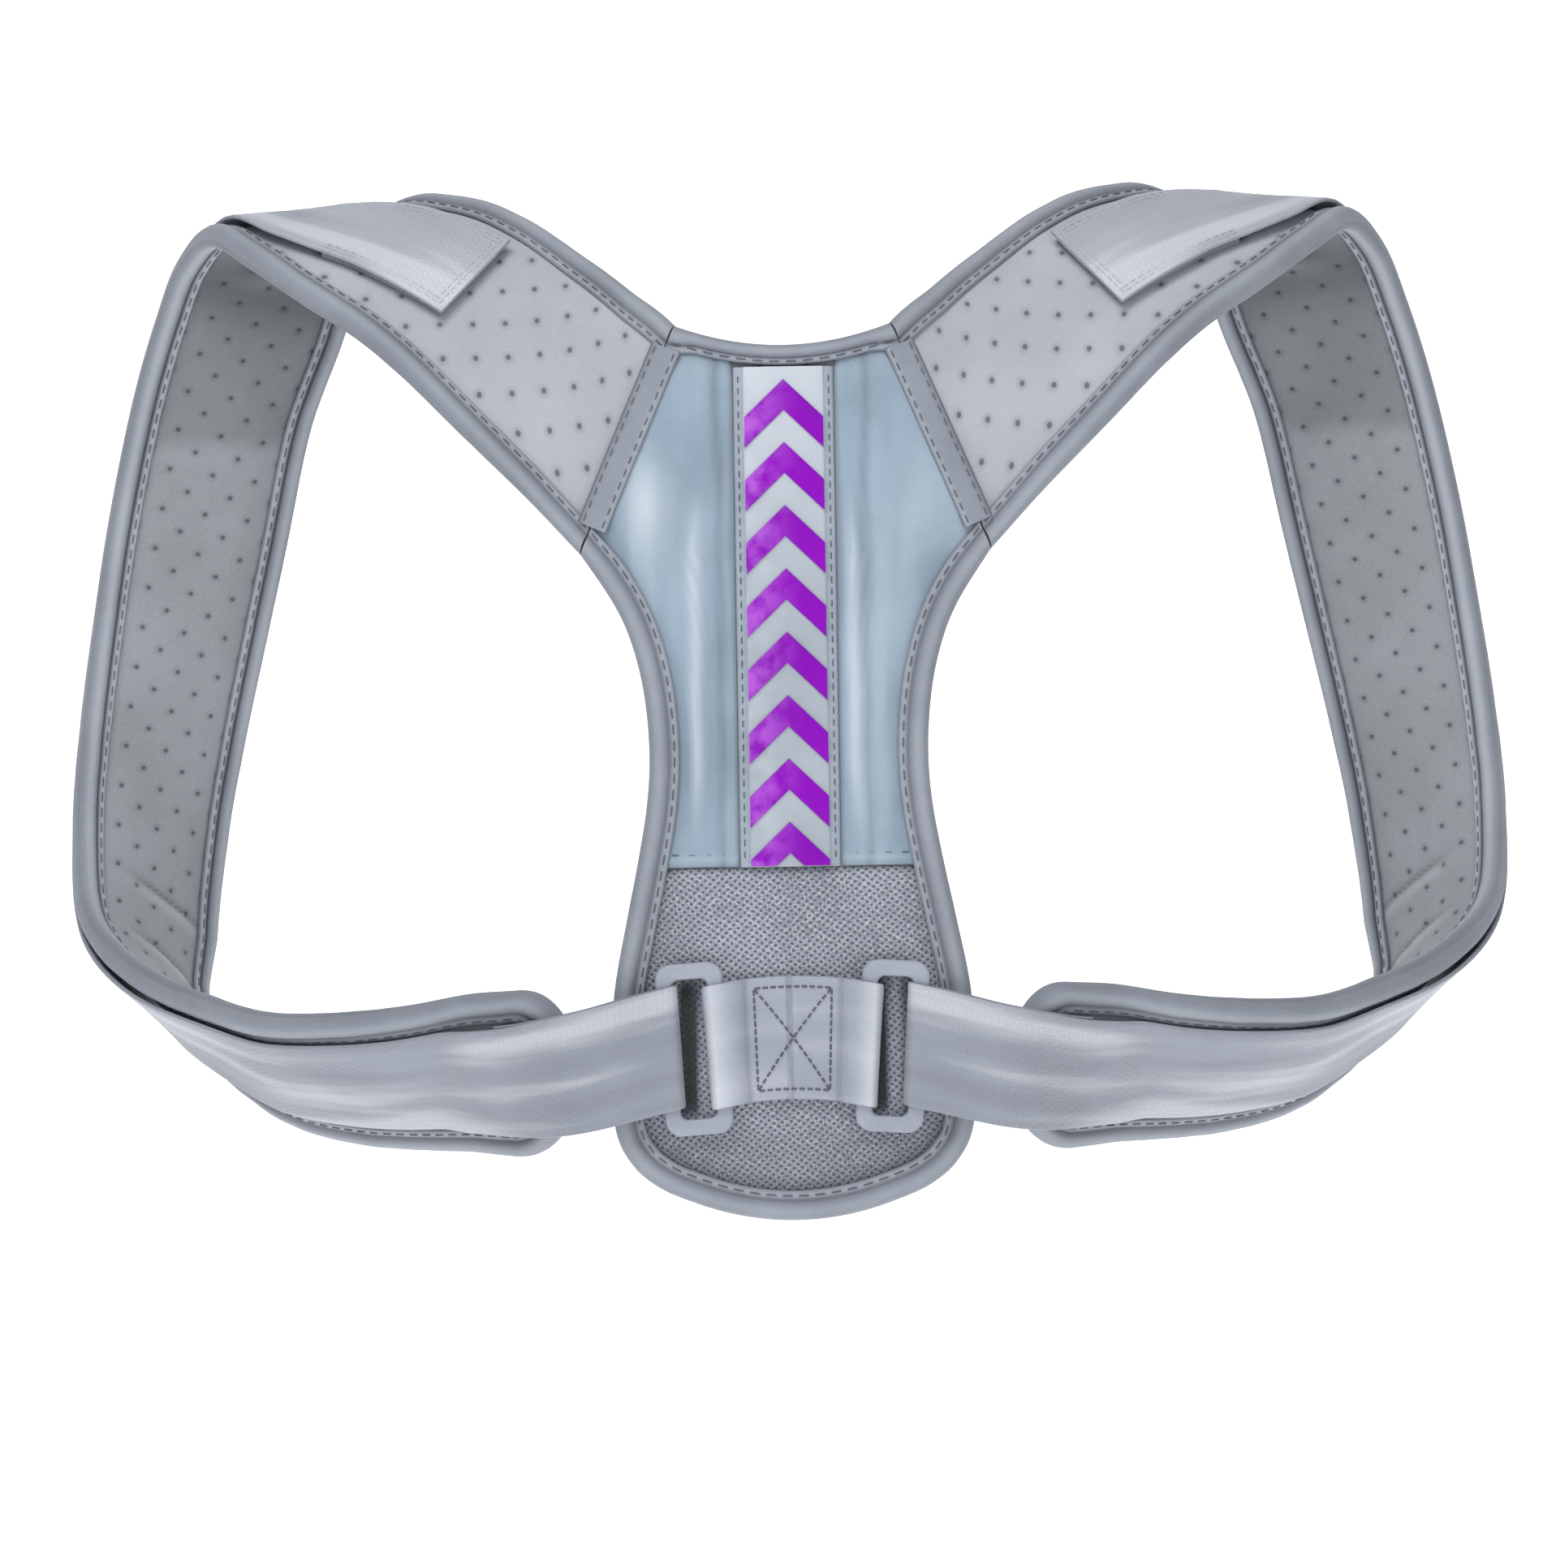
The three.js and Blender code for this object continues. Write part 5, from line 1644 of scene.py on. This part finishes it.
@dataclass
class ShoulderStrap:
    """One padded strap with its binding, its webbing and its hook patch."""

    FOLDS = (
        (162.0, 0.1, -0.8, 2.2),
        (168.0, 0.1, 0.5, 3.0),
        (376.0, -0.45, -1.1, 1.0),
        (379.5, -0.45, 0.5, 2.0),
        (397.0, -0.45, -1.1, 1.0),
        (400.5, -0.45, 0.6, 2.2),
    )

    side: Side
    spacing: float = 2.4
    binding: Binding = field(default_factory=Binding)

    @property
    def word(self) -> str:
        """The side as the nodes name it."""
        return self.side.word

    def build(self) -> None:
        """Builds every piece of the strap."""
        self.build_padding()
        self.build_binding()
        self.build_webbing()
        self.build_hook_patch()

    @staticmethod
    def swell(length: float, side: float, half: float, face: int) -> float:
        """The height of the padding's surface over the strap's middle surface.

        Args:
            length: place along the strap.
            side: place across it.
            half: half its width here.
            face: 1 for the outer face, -1 for the face on the body.

        Returns:
            The height, in millimetres.
        """
        inset = half - abs(side)
        full = ease(inset, BINDING_LEG - 1.5, BINDING_LEG * 1.85)
        seed = 3.0 * face + (1.0 if side > 0 else 0.0)
        soft = 0.3 * ripple(length / 26, side / 18, face * 5.0)
        height = STRAP_PAD / 2 + STRAP_CROWN * (1 - (side / half) ** 2) + soft
        height += pucker(length, inset - BINDING_LEG, seed)
        if face < 0:
            height += ShoulderStrap.folds(length, side)
        return lerp(EDGE_THICK / 2, height, full)

    @staticmethod
    def folds(length: float, side: float) -> float:
        """Creases of the inner face where the strap turns over the shoulder and under the arm."""
        total = 0.0
        for place, slant, deep, wide in ShoulderStrap.FOLDS:
            total += deep * bell(length + slant * side, place, wide) * ease(side, -18, 2)
        return total

    @classmethod
    def lining_shade(cls, length: float, side: float) -> float:
        """Painted shade on the face on the body: in its folds, deepest near the shoulder, and a
        painted shadow under the shoulder.
        """
        along = length + 0.17 * side
        wander = 2.5 * ripple(side / 9, 4.0, 0.0)
        under = 0.36 * (1 - ease(along + wander, 222, 231)) * ease(length, 140, 150)
        deepest = 0.34 * bell(length, 170, 15)
        return under + deepest - 0.42 * cls.folds(length, side)

    @staticmethod
    def hole_place(length: float, side: float) -> tuple[float, float]:
        """A place on the perforated cloth, which is stretched over the shoulder."""
        loose, tight = 1 / 1.13, 1 / 0.92
        turned = ease(length, 130, 200)
        along = length * loose + (tight - loose) * max(0.0, length - 165)
        return along * MM, side * lerp(loose, 1 / 1.03, turned) * MM

    def build_padding(self) -> None:
        """The foam strap with its perforated cloth, its edges inside the binding."""
        edge = BINDING_WALL + 0.6
        creased = (362.0, 416.0)
        lengths = [*steps(0.3, creased[0], self.spacing), *steps(*creased, 1.1)[1:],
                   *steps(creased[1], STRAP.round_start, self.spacing)[1:]]
        sections = [(length, STRAP.half(length) - edge, STRAP.half(length)) for length in lengths]
        half = STRAP.half(STRAP.round_start)
        for turn in steps(6, 84, 6):
            angle = math.radians(turn)
            length = STRAP.round_start + (TIP_LENGTH - edge) * math.sin(angle)
            sections.append((length, (half - edge) * math.cos(angle), half * math.cos(angle)))
        columns = 31
        upper, lower, flat, inner = [], [], [], []
        for length, reach, full in sections:
            tip = max(0.0, length - STRAP.round_start) / TIP_LENGTH
            line = []
            for step in range(columns + 1):
                share = 2 * step / columns - 1
                line.append(reach * (0.5 * share + 0.5 * math.sin(share * math.pi / 2)))
            top, low = [], []
            for side in line:
                ends = TIP_LENGTH * (1 - tip)
                near = ease(ends, BINDING_LEG - 1.5, BINDING_LEG * 1.85) if tip else 1.0
                heights = [
                    lerp(EDGE_THICK / 2, self.swell(length, side, max(full, 1.0), face), near)
                    for face in (1, -1)
                ]
                top.append(STRAP.point(length, side, heights[0]))
                low.append(STRAP.point(length, side, -heights[1]))
            upper.append(top)
            lower.append(low)
            flat.append([(length, side) for side in line])
            inner += [self.lining_shade(length, side) for side in line]
        sheet = Sheet()
        sheet.slab(upper, lower, flat, ([0.0] * len(inner), inner))
        sheet.holes = [self.hole_place(length, side) for row in flat for length, side in row] * 2
        piece = sheet.finish(f"padded_strap_{self.word}", Finishes.PADDING.make(), self.side,
                             lining=Finishes.LINING.make())
        stand_in(piece, f"shoulder_strap_{self.word}")

    def build_binding(self) -> None:
        """The binding along the arm edge, round the tip and back along the neck edge."""
        half = STRAP.half(STRAP.round_start)
        path: list[tuple[float, float, float]] = []
        edge = [max(length, 0.05) for length in steps(0, STRAP.round_start, self.spacing)]
        path += [(length, -1.0, 0.0) for length in edge[:-1]]
        path += [(STRAP.round_start, math.sin(math.radians(turn)), math.cos(math.radians(turn)))
                 for turn in steps(-90, 90, 5)]
        path += [(length, 1.0, 0.0) for length in reversed(edge[:-1])]

        def place(spot: tuple[float, float, float], inset: float, height: float) -> Vector:
            """A place of the binding's section in metres."""
            length, sign, ahead = spot
            reach = half if ahead else STRAP.half(length)
            if ahead:
                length += (TIP_LENGTH - inset) * ahead
            return STRAP.point(length, (reach - inset) * sign, height)

        rings, marks = [], [0.0]
        sewn: dict[int, list[Vector]] = {1: [], -1: []}
        inset, height = self.binding.sewn()
        for order, spot in enumerate(path):
            if order:
                step = place(spot, 0, 0) - place(path[order - 1], 0, 0)
                marks.append(marks[-1] + step.length / MM)
            wave = ripple(marks[-1] / 9, 5.0, 0.0)
            wave = 1 + 0.06 * ease(spot[0], 0, 12) * wave
            rings.append([place(spot, i, h * wave) for i, h in self.binding.section()])
            for face in (1, -1):
                sewn[face].append(place(spot, inset, face * height))
        sheet = Sheet()
        sheet.loft(rings, marks, self.binding.around(), shade=self.binding.shade())
        piece = sheet.finish(
            f"strap_binding_cloth_{self.word}", Finishes.BINDING.make(), self.side
        )
        length = marks[-1] * MM
        sheet.area() / length
        f"padded_strap_{self.word}"
        stand_in(piece, f"strap_binding_{self.word}")
        work = StitchWork()
        ups = [STRAP.station(min(spot[0], STRAP.tip_length)).out for spot in path]
        for face in (1, -1):
            work.row(sewn[face], [up * face for up in ups])
        work.finish(f"binding_stitches_{self.word}", side=self.side)

    @staticmethod
    def webbing_at(length: float) -> tuple[float, float]:
        """The webbing's lift and sideways shift at a length, in millimetres."""
        at = length / STRAP.tip_length
        row = 0
        while row < len(WEBBING_ROWS) - 2 and WEBBING_ROWS[row + 1].at < at:
            row += 1
        here, there = WEBBING_ROWS[row], WEBBING_ROWS[row + 1]
        share = ease((at - here.at) / (there.at - here.at), 0, 1)
        lift = WEBBING_THICK * lerp(here.lift, there.lift, share)
        return lift, STRAP_WIDTH * lerp(here.shift, there.shift, share)

    def webbing_line(self) -> list[tuple[float, float]]:
        """The webbing's middle line as lengths and heights, from its sewn end to its free end."""
        clear = RING_THICK / 2 + LAYER_GAP + WEBBING_THICK / 2
        sewn = BEAD_TOP + 2 * LAYER_GAP + WEBBING_THICK / 2
        stacked = sewn + WEBBING_THICK + SLOT_GAP
        sewn_from = STRAP.tip_length - SEWN_LENGTH
        bend = RING_BAR / 2 + LAYER_GAP + WEBBING_THICK / 2 - clear
        tip = STRAP.tip_length + END_GAP
        line = [(length, sewn) for length in steps(sewn_from, tip, 2)]
        line += [(lerp(tip, STRAP.ring_length, s), lerp(sewn, -clear, ease(s, 0, 0.8)))
                 for s in steps(0.08, 0.94, 0.08)]
        line += [
            (STRAP.ring_length + bend + clear * math.cos(math.radians(turn)),
             clear * math.sin(math.radians(turn)))
            for turn in steps(-90, 90, 12)
        ]
        line += [(lerp(STRAP.ring_length, tip, s), lerp(clear, stacked, ease(s, 0, 1)))
                 for s in steps(0.06, 1, 0.08)]
        stacked_from = sewn_from - WEBBING_WIDTH / 3
        for length in steps(tip - 2, TAB_PLACE, 2.4):
            lift = self.webbing_at(length)[0]
            over_sewn = ease(length, stacked_from - 8, stacked_from + 6)
            line.append((length, max(lift, lerp(lift, stacked, over_sewn))))
        return line

    def build_webbing(self) -> None:
        """The webbing: sewn on the tip, round the ring, and back to the shoulder."""
        line = self.webbing_line()
        half, thick = WEBBING_WIDTH / 2, WEBBING_THICK / 2
        shape = [(-1, 0), (-0.985, -0.75), (-0.94, -1.0), (-0.88, -0.86), (-0.45, -0.9), (0, -0.9),
                 (0.45, -0.9), (0.88, -0.86), (0.94, -1.0), (0.985, -0.75)]
        section = shape + [(-side, -face) for side, face in shape]
        rings, marks = [], marks_along(line)
        for order, (length, height) in enumerate(line):
            before, after = line[max(order - 1, 0)], line[min(order + 1, len(line) - 1)]
            run, rise = after[0] - before[0], after[1] - before[1]
            size = math.hypot(run, rise)
            run, rise = run / size, rise / size
            shift = self.webbing_at(length)[1]
            ring = []
            for side, face in section:
                offset = face * thick
                wave = 0.22 * ripple(marks[order] / 24, side * 1.3, 2.0)
                up = height - run * offset + wave
                ring.append(STRAP.point(length + rise * offset, side * half + shift, up))
            rings.append(ring)
        around = marks_along([(side * half, face * thick) for side, face in section])
        # Painted highlights: beside the fold round the ring's bar on the returning run, and on the
        # free end up on the shoulder
        tones = []
        for mark, (length, _) in zip(marks, line):
            back = mark > marks[-1] / 2
            near_bar = -0.45 * bell(length, STRAP.ring_length - 5, 2.0) if back else 0.0
            free_end = -0.3 * (1 - ease(length, 120, 160))
            tones += [near_bar + free_end] * len(section)
        sheet = Sheet()
        sheet.loft(rings, marks, around, shade=tones)
        piece = sheet.finish(f"strap_webbing_{self.word}", Finishes.WEBBING.make(), self.side)
        f"padded_strap_{self.word}"
        f"moulded_ring_{self.word}"
        stand_in(piece, f"webbing_{self.word}")
        self.build_tab_stitches()

    def build_tab_stitches(self) -> None:
        """The double row of pale stitches round the webbing's free end."""
        work = StitchWork(0.4, 2.0, 3.1)
        half = WEBBING_WIDTH / 2

        def spot(length: float, side: float) -> Vector:
            """A place on top of the webbing, in metres."""
            lift, shift = self.webbing_at(length)
            return STRAP.point(length, side + shift, lift + WEBBING_THICK / 2 + 0.05)

        for inset in (2.2, 3.8):
            far = TAB_PLACE + HOOK_LENGTH
            near = TAB_PLACE + inset
            reach = half - inset
            route = [(length, -reach) for length in steps(far, near, 3)]
            route += [(near, side) for side in steps(-reach, reach, 3)]
            route += [(length, reach) for length in steps(near, far, 3)]
            work.row(
                [spot(length, side) for length, side in route],
                [STRAP.station(length).out for length, _ in route],
            )
        work.finish(f"tab_stitches_{self.word}", "webbing", self.side, pale=True)

    def build_hook_patch(self) -> None:
        """The hook patch under the free end of the webbing."""
        start, end = TAB_PLACE + HOOK_MARGIN, TAB_PLACE + HOOK_LENGTH
        half = WEBBING_WIDTH / 2 - HOOK_MARGIN
        bottom = STRAP_PAD / 2 + STRAP_CROWN + 2 * LAYER_GAP
        upper, lower, flat = [], [], []
        for length in steps(start, end, 2.0):
            shift = self.webbing_at(length)[1]
            sides = steps(-half, half, 4.0)
            upper.append([STRAP.point(length, side + shift, bottom + HOOK_THICK) for side in sides])
            lower.append([STRAP.point(length, side + shift, bottom - 0.3) for side in sides])
            flat.append([(length, side) for side in sides])
        sheet = Sheet()
        sheet.slab(upper, lower, flat)
        piece = sheet.finish(f"hook_tape_{self.word}", Finishes.HOOK.make(), self.side)
        f"padded_strap_{self.word}"
        stand_in(piece, f"hook_patch_{self.word}")


@dataclass
class Fastening:
    """The two rings and the webbing between them."""

    box_half: float = 11.5
    box_high: float = 31.5

    def build(self) -> None:
        """Builds the rings, the centre webbing and its box stitch."""
        for side in Side:
            self.build_ring(side)
        self.build_webbing()
        self.build_box_stitch()

    def build_ring(self, side: Side) -> None:
        """One moulded ring: a frame cut from a plate, its corners and edges rounded."""
        wide = (OUTER_BAR_X - INNER_BAR_X) / 2 + RING_BAR / 2
        bpy.ops.object.select_all(action="DESELECT")
        bpy.ops.mesh.primitive_plane_add(size=2, rotation=(math.pi / 2, 0, 0))
        ring = bpy.context.object
        ring.name = f"moulded_ring_{side.word}"
        ring.scale = (wide * MM, RING_HALF_HEIGHT * MM, 1.0)
        bpy.ops.object.transform_apply(location=True, rotation=True, scale=True)
        bpy.ops.object.mode_set(mode="EDIT")
        bpy.ops.mesh.select_all(action="SELECT")
        bpy.ops.mesh.inset(thickness=RING_BAR * MM, depth=0)
        bpy.ops.mesh.delete(type="FACE")
        bpy.ops.mesh.select_all(action="SELECT")
        through = {"value": (0, RING_THICK * MM, 0)}
        bpy.ops.mesh.extrude_region_move(TRANSFORM_OT_translate=through)
        bpy.ops.mesh.select_all(action="SELECT")
        bpy.ops.mesh.normals_make_consistent(inside=False)
        self.round_corners(ring, wide * MM, outer=True)
        self.round_corners(ring, wide * MM, outer=False)
        bpy.ops.object.mode_set(mode="OBJECT")
        soften = ring.modifiers.new("edges", "BEVEL")
        soften.width, soften.segments, soften.limit_method = 0.0012, 4, "ANGLE"
        soften.angle_limit = math.radians(50)
        bpy.ops.object.modifier_apply(modifier=soften.name)
        middle = side.value * (OUTER_BAR_X + INNER_BAR_X) / 2
        place = Matrix.Translation(Vector((middle, RING_Y - RING_THICK / 2, RING_Z)) * MM)
        tilt = Matrix.Rotation(side.value * math.radians(RING_TILT), 4, "Y")
        ring.data.transform(place @ tilt)
        ring.data.polygons.foreach_set("use_smooth", [True] * len(ring.data.polygons))
        ring.data.set_sharp_from_angle(angle=math.radians(60))
        ring.data.materials.append(Finishes.PLASTIC.make())
        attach(ring, "root")
        stand_in(ring, f"ring_{side.word}")

    @staticmethod
    def round_corners(ring: bpy.types.Object, wide: float, outer: bool) -> None:
        """Rounds the four outer or inner corners of the ring while it is being edited."""
        work = bmesh.from_edit_mesh(ring.data)
        for element in (*work.verts, *work.edges, *work.faces):
            element.select = False
        across = wide - RING_BAR * MM / 2
        up = RING_HALF_HEIGHT * MM - RING_BAR * MM / 2
        for edge in work.edges:
            start, end = (vertex.co for vertex in edge.verts)
            through = abs(start.y - end.y) > RING_THICK * MM / 2
            at_rim = abs(start.x) > across and abs(start.z) > up
            inside = abs(start.x) < across and abs(start.z) < up
            if through and (at_rim if outer else inside):
                edge.select = True
        work.select_mode = {"EDGE"}
        work.select_flush_mode()
        bmesh.update_edit_mesh(ring.data)
        radius = RING_BAR if outer else RING_BAR / 2
        bpy.ops.mesh.bevel(offset=radius * MM, segments=6, affect="EDGES")

    @staticmethod
    def centre_line() -> list[tuple[float, float]]:
        """The centre webbing's closed middle line, as places across and out."""
        inner = PANEL_FACE - LAYER_GAP - WEBBING_THICK / 2
        outer = RING_Y - RING_THICK / 2 - LAYER_GAP - WEBBING_THICK / 2
        sewn = inner - WEBBING_THICK - 0.05
        round_bar = (inner - outer) / 2
        turn_x = INNER_BAR_X + RING_BAR / 2 + LAYER_GAP + WEBBING_THICK / 2 - round_bar
        start_x = INNER_BAR_X - RING_BAR / 2 - LAYER_GAP - 1.0
        right = [(x, sewn) for x in steps(0, CENTRE_SEAM_HALF, 2)]
        right += [(x, lerp(sewn, outer, ease(x, CENTRE_SEAM_HALF, start_x)))
                  for x in steps(CENTRE_SEAM_HALF + 1, start_x, 1)]
        right += [
            (turn_x + round_bar * math.cos(math.radians(turn)),
             (inner + outer) / 2 + round_bar * math.sin(math.radians(turn)))
            for turn in steps(-90, 90, 12)
        ]
        right += [(x, inner) for x in steps(turn_x - 1, 0, 2)]
        return right + [(-x, y) for x, y in reversed(right[1:-1])]

    @staticmethod
    def centre_place(x: float, y: float, up: float) -> Vector:
        """A place of the centre webbing in metres, arched and spread with the rings."""
        slant = math.tan(math.radians(RING_TILT)) * up * (x / INNER_BAR_X)
        end = INNER_BAR_X + RING_BAR / 2 + LAYER_GAP + WEBBING_THICK
        arch = CENTRE_ARCH * (1 - (x / end) ** 2)
        return Vector((x + slant, y, RING_Z + up + arch)) * MM

    def build_webbing(self) -> None:
        """The band round both rings' inner bars, pressed flat where it is sewn."""
        line = self.centre_line()
        half, thick = WEBBING_WIDTH / 2, WEBBING_THICK / 2
        section = [(-1, 0), (-0.985, -0.75), (-0.94, -1.0), (-0.5, -0.9), (0, -0.9), (0.5, -0.9),
                   (0.94, -1.0), (0.985, -0.75)]
        section += [(-side, -face) for side, face in section]
        rings, marks = [], marks_along(line)
        for order, (x, y) in enumerate(line):
            before, after = line[order - 1], line[(order + 1) % len(line)]
            normal = Vector((after[1] - before[1], before[0] - after[0])).normalized()
            rings.append([
                self.centre_place(
                    x + normal.x * face * thick, y + normal.y * face * thick, side * half
                )
                for side, face in section
            ])
        around = marks_along([(side * half, face * thick) for side, face in section])
        sheet = Sheet()
        # Painted shade where the band leaves the sewn part, and a painted highlight beside its fold
        # round each inner bar
        tones = []
        for x, _ in line:
            seam = 0.3 * bell(abs(x), CENTRE_SEAM_HALF + 1.5, 1.2)
            tones += [seam - 0.5 * bell(abs(x), INNER_BAR_X + 1.5, 1.4)] * len(section)
        sheet.loft(rings, marks, around, closed_path=True, shade=tones)
        piece = sheet.finish("centre_band", Finishes.BAND.make())
        stand_in(piece, "centre_webbing")

    def build_box_stitch(self) -> None:
        """The crossed box that holds the two layers together."""
        work = StitchWork(0.7, 1.7, 2.4)
        face = PANEL_FACE - LAYER_GAP - 2 * WEBBING_THICK - 0.1
        wide, high = self.box_half, self.box_high / 2
        corners = [(-wide, -high), (wide, -high), (wide, high), (-wide, high)]
        routes = list(zip(corners, corners[1:] + corners[:1]))
        routes += [(corners[0], corners[2]), (corners[1], corners[3])]
        for start, end in routes:
            path = [
                self.centre_place(lerp(start[0], end[0], s), face, lerp(start[1], end[1], s))
                for s in steps(0, 1, 0.12)
            ]
            work.row(path)
        work.finish("box_stitches", slot="webbing")


@dataclass
class Studio:
    """The floor and backdrop, the lights and the camera."""

    LIGHTS = {"key": ((-0.35, -1.0, 1.5), 1.0, 21.0), "fill": ((0.35, -1.5, 0.4), 1.3, 4.0)}

    surround: float = 0.3
    distance: float = 1.3
    sensor: float = 36.0
    frame_height: float = 0.483
    aside: float = -0.0035
    roll: float = 0.9

    def build(self) -> None:
        """Sets up the studio."""
        self.build_floor()
        self.build_lights()
        self.build_camera()

    def build_floor(self) -> None:
        """A pale floor that sweeps up behind the brace."""
        sheet = Sheet()
        profile = [(-2.6, -0.46), (1.1, -0.46)]
        profile += [
            (1.1 + 0.9 * math.sin(math.radians(turn)), 0.44 - 0.9 * math.cos(math.radians(turn)))
            for turn in steps(5, 90, 5)
        ]
        profile.append((2.0, 2.6))
        rows = [[Vector((x, y, z)) for x in (-3.0, 3.0)] for y, z in profile]
        low = [[Vector((point.x, point.y + 0.01, point.z - 0.01)) for point in row] for row in rows]
        flat = [[(point.x / MM, point.y / MM) for point in row] for row in rows]
        sheet.slab(rows, low, flat)
        floor = sheet.finish("studio_floor", self.floor_finish())

    @staticmethod
    def floor_finish() -> bpy.types.Material:
        """Pale matt paper."""
        material = bpy.data.materials.new("studio_paper")
        material.use_nodes = True
        shader = material.node_tree.nodes["Principled BSDF"]
        shader.inputs["Base Color"].default_value = (0.9, 0.9, 0.9, 1.0)
        shader.inputs["Roughness"].default_value = 0.95
        shader.inputs["Emission Color"].default_value = (1.0, 1.0, 1.0, 1.0)
        shader.inputs["Emission Strength"].default_value = 0.7
        return material

    @staticmethod
    def area(name: str, place: tuple[float, float, float], size: float, power: float) -> None:
        """Adds a soft square light that faces the brace."""
        data = bpy.data.lights.new(name, "AREA")
        data.size, data.energy = size, power
        light = bpy.data.objects.new(name, data)
        light.location = place
        towards = Vector((0, 0.03, 0)) - Vector(place)
        light.rotation_euler = towards.to_track_quat("-Z", "Y").to_euler()
        bpy.context.collection.objects.link(light)

    def build_lights(self) -> None:
        """A soft light above, a weaker one low on the right, and a pale surround."""
        world = bpy.data.worlds.new("surround")
        world.use_nodes = True
        background = world.node_tree.nodes["Background"]
        background.inputs["Color"].default_value = (0.97, 0.98, 1.0, 1.0)
        background.inputs["Strength"].default_value = self.surround
        bpy.context.scene.world = world
        for name, light in self.LIGHTS.items():
            self.area(name, *light)

    def build_camera(self) -> None:
        """A camera straight behind the brace, a little turned as the photograph is."""
        data = bpy.data.cameras.new("camera")
        data.sensor_fit, data.sensor_height = "VERTICAL", self.sensor
        data.lens = self.sensor * self.distance / self.frame_height
        camera = bpy.data.objects.new("camera", data)
        upright = Matrix.Rotation(math.pi / 2, 4, "X")
        turned = Matrix.Rotation(math.radians(self.roll), 4, "Y") @ upright
        face = PANEL_FACE * MM
        camera.matrix_world = Matrix.Translation((self.aside, face - self.distance, 0.0)) @ turned
        bpy.context.collection.objects.link(camera)
        bpy.context.scene.camera = camera


def main() -> None:
    """Builds the brace piece by piece."""
    logging.basicConfig(level=logging.INFO, format="%(message)s")
    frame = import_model()
    LOG.info("the frame holds %d solids", len(frame["nodes"]))
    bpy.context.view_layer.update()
    bpy.context.scene.view_settings.view_transform = "Standard"
    Studio().build()
    BackPanel().build()
    CentreStrip().build()
    for side in Side:
        ShoulderStrap(side).build()
    Fastening().build()


if __name__ == "__main__":
    main()
